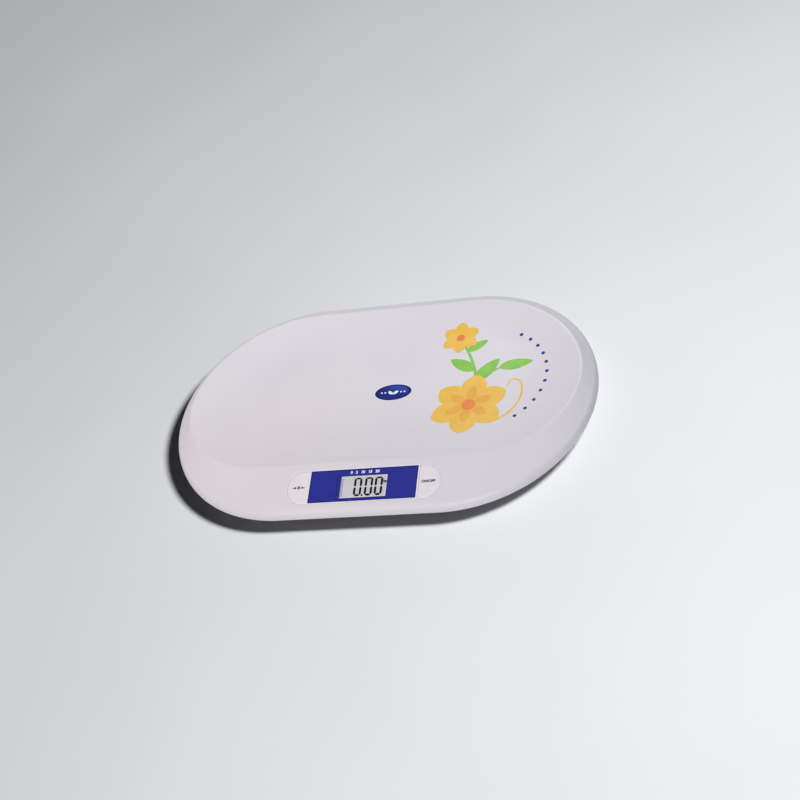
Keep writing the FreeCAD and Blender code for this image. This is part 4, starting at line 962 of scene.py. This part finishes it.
@dataclass
class Readout:
    """What the display shows and what is printed on the strip: flat shapes a hair above their ground.

    Attributes:
        window, half: the window's middle and half sizes on the strip.
        digit, stroke, lefts: size of a digit, width of its bars and the digits' left sides.
        gap: space left at each end of a bar.
        point: left side, width and height of the decimal point.
        rise: how far the digits lie above the window's middle.
        glass_top, window_top, key_top: heights of the printed surfaces.
        margin: width of the blue margin on the window.
        lift, thick: how far a print stands off its ground and how thick it is.
        type_size: size of the type for capital letters of height 1.
    """

    shape: TrayShape = field(default_factory=TrayShape)
    window: Pair = (-0.5, -2.5)
    half: Pair = (30.75, 14.5)
    digit: Pair = (10.2, 25.4)
    stroke: float = 2.9
    gap: float = 0.25
    lefts: Point = (-11.6, 2.1, 14.6)
    point: Point = (-1.3, 2.2, 2.3)
    rise: float = 0.5
    glass_top: float = -1.2
    window_top: float = 0.3
    key_top: float = 0.38
    margin: float = 2.8
    lift: float = 0.03
    thick: float = 0.02
    type_size: float = 1.38
    # Liquid crystal segments: not quite black, with no gloss of their own.
    ink: Finish = Finish("liquid crystal segment black", "#17191C", "#1E2124", 0.6, 1.0, 0.001, 6.0,
                         specular=0.1)
    # Pad-printed ink: nearly black, slightly uneven at its edges.
    key_ink: Finish = Finish("pad printed black ink", "#1C1C24", "#2A2A33", 0.55, 0.6, 0.002, 3.0,
                             specular=0.15)
    # Screen-printed white on the blue film.
    white_ink: Finish = Finish("screen printed white ink", "#E8EAF4", "#DDE0F0", 0.5, 0.6, 0.002, 4.0)
    # Printed blue margin along the window's left edge, the tone of the film beside it.
    margin_ink: Finish = Finish("screen printed blue margin", "#2A3392", "#27308C", 0.45, 0.5, 0.001, 30.0,
                                specular=0.12)

    @staticmethod
    def rectangle(left: float, low: float, wide: float, high: float) -> Array:
        """Return a rectangle's corners in order."""
        return np.array([[left, low], [left + wide, low], [left + wide, low + high], [left, low + high]])

    def segment(self, start: Pair, end: Pair) -> Array:
        """Return one pointed bar from start to end, as six corners in order."""
        a, b = np.array(start, float), np.array(end, float)
        along = (b - a) / np.linalg.norm(b - a)
        side = np.array([-along[1], along[0]]) * self.stroke / 2.0
        tip = along * self.stroke / 2.0
        a, b = a + along * self.gap, b - along * self.gap
        return np.array([a, a + tip + side, b - tip + side, b, b - tip - side, a + tip - side])

    def zero(self, left: float, bottom: float) -> list[Array]:
        """Return the six bars of a 0 whose lower left corner is given."""
        (w, h), t = self.digit, self.stroke / 2.0
        x0, x1 = left + t, left + w - t
        y0, y1, ym = bottom + t, bottom + h - t, bottom + h / 2.0
        ends = [((x0, y0), (x1, y0)), ((x0, y1), (x1, y1)), ((x0, y0), (x0, ym)), ((x0, ym), (x0, y1)),
                ((x1, y0), (x1, ym)), ((x1, ym), (x1, y1))]
        return [self.segment(a, b) for a, b in ends]

    def plates(self, name: str, outlines: list[Array], ground: float) -> Piece:
        """Make thin closed plates from plane outlines in the strip's frame.

        Args:
            name: the piece's name.
            outlines: convex outlines, each n by 2 in millimetres.
            ground: height of the surface that they lie on, in the strip's frame.

        Returns:
            One object of all the plates.
        """
        heights = (ground + self.lift + self.thick, ground)
        parts = []
        for plan in outlines:
            top, low = (self.shape.on_strip(at_height(plan, height)) for height in heights)
            around = np.arange(len(plan))
            parts.append((top, low, around[None], around))
        return slabs(name, parts, smooth=False)

    def words(self, line: Words) -> Piece:
        """Return printed characters as a thin mesh, centred at a point of the strip."""
        curve = bpy.data.curves.new(line.name, "FONT")
        curve.body = line.text
        curve.size = line.height * MM * self.type_size
        curve.align_x = "CENTER"
        curve.align_y = "CENTER"
        curve.extrude = self.thick * MM / 2.0
        curve.offset = line.bold * MM
        text = link_new(line.name, curve)
        mesh = baked_mesh(text)
        bpy.data.objects.remove(text)
        place = Matrix.Translation(Vector((line.x, line.y, line.ground + self.lift)) * MM)
        mesh.transform(self.shape.strip_matrix() @ place)
        return link_new(line.name, mesh)

    @staticmethod
    def arrow(x: float, way: float) -> list[Array]:
        """Return a small arrow that points along X, to the right for a way of 1: a shaft and a head."""
        long, head_long, half, barb = 4.9, 2.0, 0.65, 1.95
        tip = x + way * long
        neck = tip - way * head_long
        shaft = np.array([[x, -half], [neck, -half], [neck, half], [x, half]])
        head = np.array([[neck, -barb], [tip, 0.0], [neck, barb]])
        return [shaft, head] if way > 0 else [shaft[::-1], head[::-1]]

    def build(self) -> list[Piece]:
        """Build the digits, the unit and the prints on keys, window and film.

        Returns:
            The printed pieces.
        """
        cx, cy = self.window
        bottom = cy + self.rise - self.digit[1] / 2.0
        bars = [bar for left in self.lefts for bar in self.zero(left, bottom)]
        left, wide, high = self.point
        bars.append(self.rectangle(left, bottom, wide, high))
        digits = self.plates("lcd_digits", bars, self.glass_top)
        unit_sign = self.words(Words("lcd_unit", "kg", 3.6, 28.0, 2.9, self.window_top, 0.17))
        edge = self.rectangle(cx - self.half[0], cy - self.half[1], self.margin, 2.0 * self.half[1])
        margin = self.plates("window_margin", [edge], self.window_top)
        rating = self.words(Words("rating_numbers", "0   5   10   15   20", 3.6, 1.1, 16.7, 0.4, 0.26))
        tare = self.plates("tare_mark", self.arrow(-89.6, 1.0) + self.arrow(-74.6, -1.0), self.key_top)
        zero = self.words(Words("tare_zero", "0", 4.0, -82.1, 0.0, self.key_top, 0.36))
        power = self.words(Words("power_mark", "ON/OFF", 3.4, 82.0, -0.6, self.key_top, 0.22))
        black, grey, white = self.ink.build(), self.key_ink.build(), self.white_ink.build()
        for piece, material, body, slot in (
            (digits, black, "platform", "lcd_glass"), (unit_sign, black, "platform", "clear_window"),
            (margin, self.margin_ink.build(), "platform", "clear_window"),
            (rating, white, "platform", "label_film"), (tare, grey, "tare_key", "key_plastic"),
            (zero, grey, "tare_key", "key_plastic"), (power, grey, "power_key", "key_plastic"),
        ):
            dress(piece, material)
            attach(piece, body)
        return [digits, unit_sign, margin, rating, tare, zero, power]


def petal(base: Pair, angle: float, length: float, wide: float, tip: float) -> Array:
    """Return a petal's grid: a midline of the given length and a width that swells and closes.

    With t from 0 at the base to 1 at the tip, the half width is wide / 2 * sin(pi t ** tip) ** 0.7 and
    a trace more, so that no two of its points meet.

    Args:
        base: where the petal starts, in millimetres.
        angle: its direction in degrees.
        length: its length.
        wide: its greatest width.
        tip: below 1 the widest place lies nearer the base, above 1 nearer the tip.

    Returns:
        A grid of 33 by 17 plan points.
    """
    t = np.linspace(0.0, 1.0, 33)[:, None]
    side = np.linspace(-1.0, 1.0, 17)[None, :]
    fullness, trace = 0.7, 0.05
    half = wide / 2.0 * np.clip(np.sin(math.pi * t ** tip), 0.0, 1.0) ** fullness + trace
    turn = math.radians(angle)
    along, across = t * length + 0.0 * side, half * side
    x = base[0] + along * math.cos(turn) - across * math.sin(turn)
    y = base[1] + along * math.sin(turn) + across * math.cos(turn)
    return np.dstack([x, y])


def ribbon(path: list[Pair], wide: Pair) -> Array:
    """Return the grid of a band along the Catmull-Rom curve through plan points.

    Args:
        path: the points in millimetres.
        wide: its width at both ends.

    Returns:
        A grid of 60 by 4 plan points.
    """
    steps = 60
    knots = np.array(path)
    guide = np.vstack([2 * knots[0] - knots[1], knots, 2 * knots[-1] - knots[-2]])
    t = np.linspace(0.0, len(knots) - 1.0, steps)
    cell = np.minimum(t.astype(int), len(knots) - 2)
    u = (t - cell)[:, None]
    p0, p1, p2, p3 = (guide[cell + k] for k in range(4))
    line = 0.5 * (2 * p1 + (p2 - p0) * u + (2 * p0 - 5 * p1 + 4 * p2 - p3) * u ** 2
                  + (3 * p1 - p0 - 3 * p2 + p3) * u ** 3)
    slope = unit(np.gradient(line, axis=0))
    normal = np.stack([-slope[:, 1], slope[:, 0]], -1)
    half = np.linspace(*wide, steps)[:, None, None] / 2.0
    side = np.linspace(-1.0, 1.0, 4)[None, :, None]
    return line[:, None, :] + normal[:, None, :] * side * half


def disc(x: float, y: float, radius: float) -> Array:
    """Return a disc's grid of 17 by 9 plan points."""
    t = np.linspace(-1.0, 1.0, 17)[:, None]
    side = np.linspace(-1.0, 1.0, 9)[None, :]
    half = np.sqrt(np.clip(1.0 - t ** 2, 0.0, 1.0))
    return np.dstack([x + radius * t + 0.0 * side, y + radius * half * side])


@dataclass
class Artwork:
    """A generic flower and leaves in the colours of a cheerful nursery print, and the badge's motif.

    The prints are thin closed skins that follow the dish, one colour to a skin.

    Attributes:
        inks: main and second colour of each print colour.
        big, small: the middles of the two flowers.
        badge: the middle of the oval badge on the flat floor.
        lift, step, patch_step: height of the lowest skin, of each level and of each patch above the last.
        deep: thickness of a skin.
    """

    shape: TrayShape = field(default_factory=TrayShape)
    inks: dict[str, tuple[str, str]] = field(default_factory=lambda: {
        "yellow": ("#EDBF4A", "#E9B843"), "deep yellow": ("#E8AE3C", "#E3A535"),
        "orange": ("#E58A3A", "#DF7A28"), "leaf green": ("#86C947", "#7DBB38"),
        "navy": ("#222C78", "#1F2A80"), "white": ("#F0F1FA", "#E4E6F4")})
    big: Pair = (118.0, -18.0)
    small: Pair = (92.0, 98.0)
    badge: Pair = (15.7, 12.6)
    lift: float = 0.05
    step: float = 0.08
    patch_step: float = 0.008
    deep: float = 0.04

    def skin(self, name: str, rows: list[Array], level: int, material: bpy.types.Material) -> Piece:
        """Lay patches on the dish.

        A patch is a grid of plan points; each point's height is that of the dish plus the lift of its
        level, and a copy a little lower closes the patch, with a wall between the two borders.  Each
        patch of a skin lies a trace above the one before, so that no two share a plane.

        Args:
            name: the skin's name.
            rows: one grid of rows by columns by 2 for each patch, in millimetres.
            level: layer that the skin lies in, counted from the bottom.
            material: its print colour.

        Returns:
            The skin.
        """
        parts = []
        for patch, grid in enumerate(rows):
            height = self.lift + self.step * level + self.patch_step * patch
            lines, columns, _ = grid.shape
            ground = self.shape.floor_height(grid[..., 0], grid[..., 1])
            top = np.dstack([grid, ground + height]).reshape(-1, 3)
            low = top - np.array([0.0, 0.0, self.deep])
            number = np.arange(lines * columns).reshape(lines, columns)
            border = np.concatenate([number[0], number[1:, -1], number[-1, -2::-1], number[-2:0:-1, 0]])
            parts.append((top * MM, low * MM, grid_faces(lines, columns, False), border))
        piece = slabs(name, parts)
        mark_sharp(piece, 40.0)
        dress(piece, material)
        return piece

    def patches(self) -> list[tuple[str, list[Array], int, str]]:
        """Work out the patches of every skin.

        Returns:
            Each skin's name, patches, level and ink.
        """

        def flower(middle: Pair, first: int, length: float, wide: float, tip: float) -> list[Array]:
            """Return six petals round a middle."""
            return [petal(middle, angle, length, wide, tip) for angle in range(first, first + 360, 60)]

        ring = arc_points((128.0, 22.0), 84.0, np.radians(np.linspace(-52.0, 58.0, 11)))
        x, y = self.badge
        stems = [ribbon([self.big, (122.0, 20.0), (112.0, 58.0), self.small], (5.0, 3.0)),
                 ribbon([(120.0, 8.0), (140.0, 34.0), (166.0, 48.0)], (4.0, 2.2))]
        leaves = [petal(base, angle, length, wide, 0.8) for base, angle, length, wide in (
            ((121.0, 22.0), 52.0, 44.0, 19.0), ((118.0, 40.0), 148.0, 40.0, 17.0),
            ((150.0, 42.0), 8.0, 42.0, 17.0), ((104.0, 74.0), 34.0, 30.0, 13.0))]
        tendril = [(146.0, -52.0), (168.0, -40.0), (182.0, -15.0), (181.0, 12.0), (169.0, 20.0), (163.0, 9.0)]
        return [
            ("art_stems", stems, 0, "leaf green"),
            ("art_leaves", leaves, 1, "leaf green"),
            ("art_big_petals", flower(self.big, 24, 49.0, 33.0, 1.4), 2, "yellow"),
            ("art_big_inner", flower(self.big, 24, 30.0, 13.0, 1.3), 3, "deep yellow"),
            ("art_small_petals", flower(self.small, 30, 25.0, 17.0, 1.4), 2, "yellow"),
            ("art_centres", [disc(*self.big, 9.0), disc(*self.small, 5.4)], 4, "orange"),
            ("art_dots", [disc(*spot, 2.4) for spot in ring], 1, "navy"),
            ("art_tendril", [ribbon(tendril, (3.6, 1.6))], 1, "yellow"),
            # Two small leaves between dots, across the middle of the badge and above its film.
            ("badge_motif", [petal((x, y - 3.2), angle, 8.4, 4.4, 1.1) for angle in (38.0, 142.0)]
             + [disc(x + way, y, 1.25) for way in (-10.5, 10.5, -15.0, 15.0)], 6, "white"),
        ]

    def build(self) -> list[Piece]:
        """Lay the artwork on the dish and on the badge.

        Returns:
            The skins.
        """
        # In-mould printed ink: flat colour with a little mottling where it was squeegeed on.
        inks = {name: Finish("screen printed " + name, *tones, 0.38, 0.5, 0.003, 14.0).build()
                for name, tones in self.inks.items()}
        made = []
        for name, rows, level, ink in self.patches():
            piece = self.skin(name, rows, level, inks[ink])
            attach(piece, "platform")
            made.append(piece)
        return made


class CarriedParts:
    """The solids that are carried over from the construction as they are."""

    def dress(self, frame: dict) -> int:
        """Give each carried-over solid whose material slot has a finish here that finish.

        Returns:
            The number of solids that were dressed.
        """
        slots = {entry["node"]: entry["material_slot"] for entry in frame["record"]["subparts"]}
        made: dict[str, bpy.types.Material] = {}
        count = 0
        for name, piece in frame["nodes"].items():
            slot = slots[name]
            if slot not in FINISHES:
                continue
            if slot not in made:
                made[slot] = FINISHES[slot].build()
            dress(piece, made[slot])
            count += 1
        return count


# ---------------------------------------------------------------- stage, light and camera


@dataclass
class Studio:
    """A pale table, soft lights and the camera.

    Attributes:
        place_mm: the camera's place.
        right, up: directions of the view's sides.
        lens_mm, sensor_mm: the lens and the width of the sensor.
        half_wide, near, far: the table's reach in metres.
        bend, rise: the share of its length where it starts to curve up, and how high it ends.
    """

    place_mm: Point = (622.679, -1211.286, 1327.808)
    right: Point = (0.9449145, 0.16212826, -0.28434313)
    up: Point = (0.07233801, 0.74378968, 0.66448787)
    lens_mm: float = 67.5
    sensor_mm: float = 36.0
    half_wide: float = 8.0
    near: float = -6.0
    far: float = 8.0
    bend: float = 0.6
    rise: float = 2.5
    # Matt pale grey card with faint fibres.
    card: Finish = Finish("matt pale grey card", "#BCBDBF", "#B9BABD", 0.9, 1.5, 0.004, 400.0)

    def table(self) -> Piece:
        """Return the table: a wide flat sheet whose far side curves up far outside the view."""
        rows, columns = 80, 40
        run = np.linspace(0.0, 1.0, rows)
        reach = (self.far - self.near) * run + self.near
        height = self.rise * np.clip((run - self.bend) / (1.0 - self.bend), 0.0, 1.0) ** 2
        side = np.linspace(-self.half_wide, self.half_wide, columns)
        axes = np.broadcast_arrays(side[None, :], reach[:, None], height[:, None])
        table = make_object("table", np.dstack(axes), grid_faces(rows, columns, False).tolist())
        dress(table, self.card.build())
        return table

    @staticmethod
    def lamp(name: str, kind: str, power: float, tone: str = "#FFFFFF", **settings: object) -> Piece:
        """Return a lamp of a kind, power and colour, with its other settings."""
        data = bpy.data.lights.new(name, kind)
        data.energy = power
        data.color = linear(tone)[:3]
        for key, value in settings.items():
            setattr(data, key, value)
        return link_new(name, data)

    def bank(self, name: str, way: Point, power: float, tone: str = "#FFFFFF", wide: float = 40.0) -> Piece:
        """Return a far lamp that shines from a direction and looks as wide as the given degrees."""
        made = self.lamp(name, "SUN", power, tone, angle=math.radians(wide))
        made.rotation_euler = Vector(way).to_track_quat("Z", "Y").to_euler()
        return made

    def soft_box(self, name: str, place: Point, power: float, tone: str) -> Piece:
        """Return a square soft box of 0.7 m at a place, turned towards the origin."""
        made = self.lamp(name, "AREA", power, tone, shape="SQUARE", size=0.7)
        made.location = place
        made.rotation_euler = (-Vector(place)).to_track_quat("-Z", "Y").to_euler()
        return made

    def table_lamp(self) -> Piece:
        """Return the lamp that lights the table and throws the soft-edged shadow.

        It stands at the front right, near enough for the shadow to grow past the rim on every side;
        the falloff node spares the table's far side the dimming that so near a lamp would bring.
        """
        made = self.lamp("table_lamp", "POINT", 72.0, shadow_soft_size=0.13, use_nodes=True)
        tree = made.data.node_tree
        tree.nodes.clear()
        falloff = add_node(tree, "LightFalloff", {"Strength": 1.0})
        glow = add_node(tree, "Emission", {"Strength": falloff.outputs["Constant"]})
        add_node(tree, "OutputLight", {"Surface": glow.outputs["Emission"]})
        made.location = (0.9, -0.34, 1.2)
        return made

    @staticmethod
    def only_for(light: Piece, pieces: list[Piece]) -> None:
        """Let a light reach only the given pieces, as a flag on a studio stand would."""
        group = bpy.data.collections.new(light.name + "_reach")
        for piece in pieces:
            group.objects.link(piece)
        light.light_linking.receiver_collection = group

    def lights(self, table: Piece) -> None:
        """Place the soft lights round the object, the lamp that lights the table, and a dim surround.

        The bank below shows the underside when the table is away; else the table stops its light.
        """
        shown = [piece for piece in bpy.context.scene.objects if piece.type == "MESH" and piece is not table]
        for light in (
            self.bank("front_bank", (0.0, -0.6, 0.8), 2.28, "#F0F9FF"),
            self.bank("right_bank", (0.75, -0.1, 0.65), 0.17),
            self.soft_box("left_front", (-0.6, -0.4, 1.6), 7.6, "#FFCCBE"),
            self.soft_box("back_box", (0.1, 1.3, 1.1), 10.3, "#F0FCFF"),
            self.bank("under_bank", (0.3, -0.6, -0.7), 1.7, wide=60.0),
        ):
            self.only_for(light, shown)
        self.only_for(self.table_lamp(), [table])
        world = bpy.data.worlds.new("soft surround")
        world.use_nodes = True
        tree = world.node_tree
        tree.nodes.clear()
        where = add_node(tree, "TexCoord", {}).outputs["Generated"]
        height = add_node(tree, "SeparateXYZ", {"Vector": where}).outputs["Z"]
        tone = ramp(tree, height, ((0.0, "#404348"), (0.9, "#F4F5FA")))
        back = add_node(tree, "Background", {"Color": tone, "Strength": 0.02})
        add_node(tree, "OutputWorld", {"Surface": back.outputs["Background"]})
        bpy.context.scene.world = world

    def camera(self) -> None:
        """Make the scene's camera, placed by its own axes."""
        data = bpy.data.cameras.new("camera")
        data.lens = self.lens_mm
        data.sensor_width = self.sensor_mm
        data.clip_end = 50.0
        right, up = Vector(self.right), Vector(self.up)
        matrix = Matrix((right, up, right.cross(up))).transposed().to_4x4()
        matrix.translation = Vector(self.place_mm) * MM
        made = link_new("camera", data)
        made.matrix_world = matrix
        bpy.context.scene.camera = made

    def build(self) -> None:
        """Set up the table, the lights, the camera and the plain view transform."""
        self.lights(self.table())
        self.camera()
        view = bpy.context.scene.view_settings
        view.view_transform = "Standard"
        view.look = "None"
        view.exposure = 0.0
        view.gamma = 1.0


def main() -> None:
    """Build each sub-assembly in turn."""
    logging.basicConfig(level=logging.INFO, format="%(name)s: %(message)s")
    for part in (Tray(), Keys(), Readout(), Artwork()):
        made = part.build()
        LOG.info("%s: %s", type(part).__name__, ", ".join(piece.name for piece in made))
    LOG.info("carried over with finishes: %d", CarriedParts().dress(frame))
    Studio().build()
    bpy.context.view_layer.update()


if __name__ == "__main__":
    main()
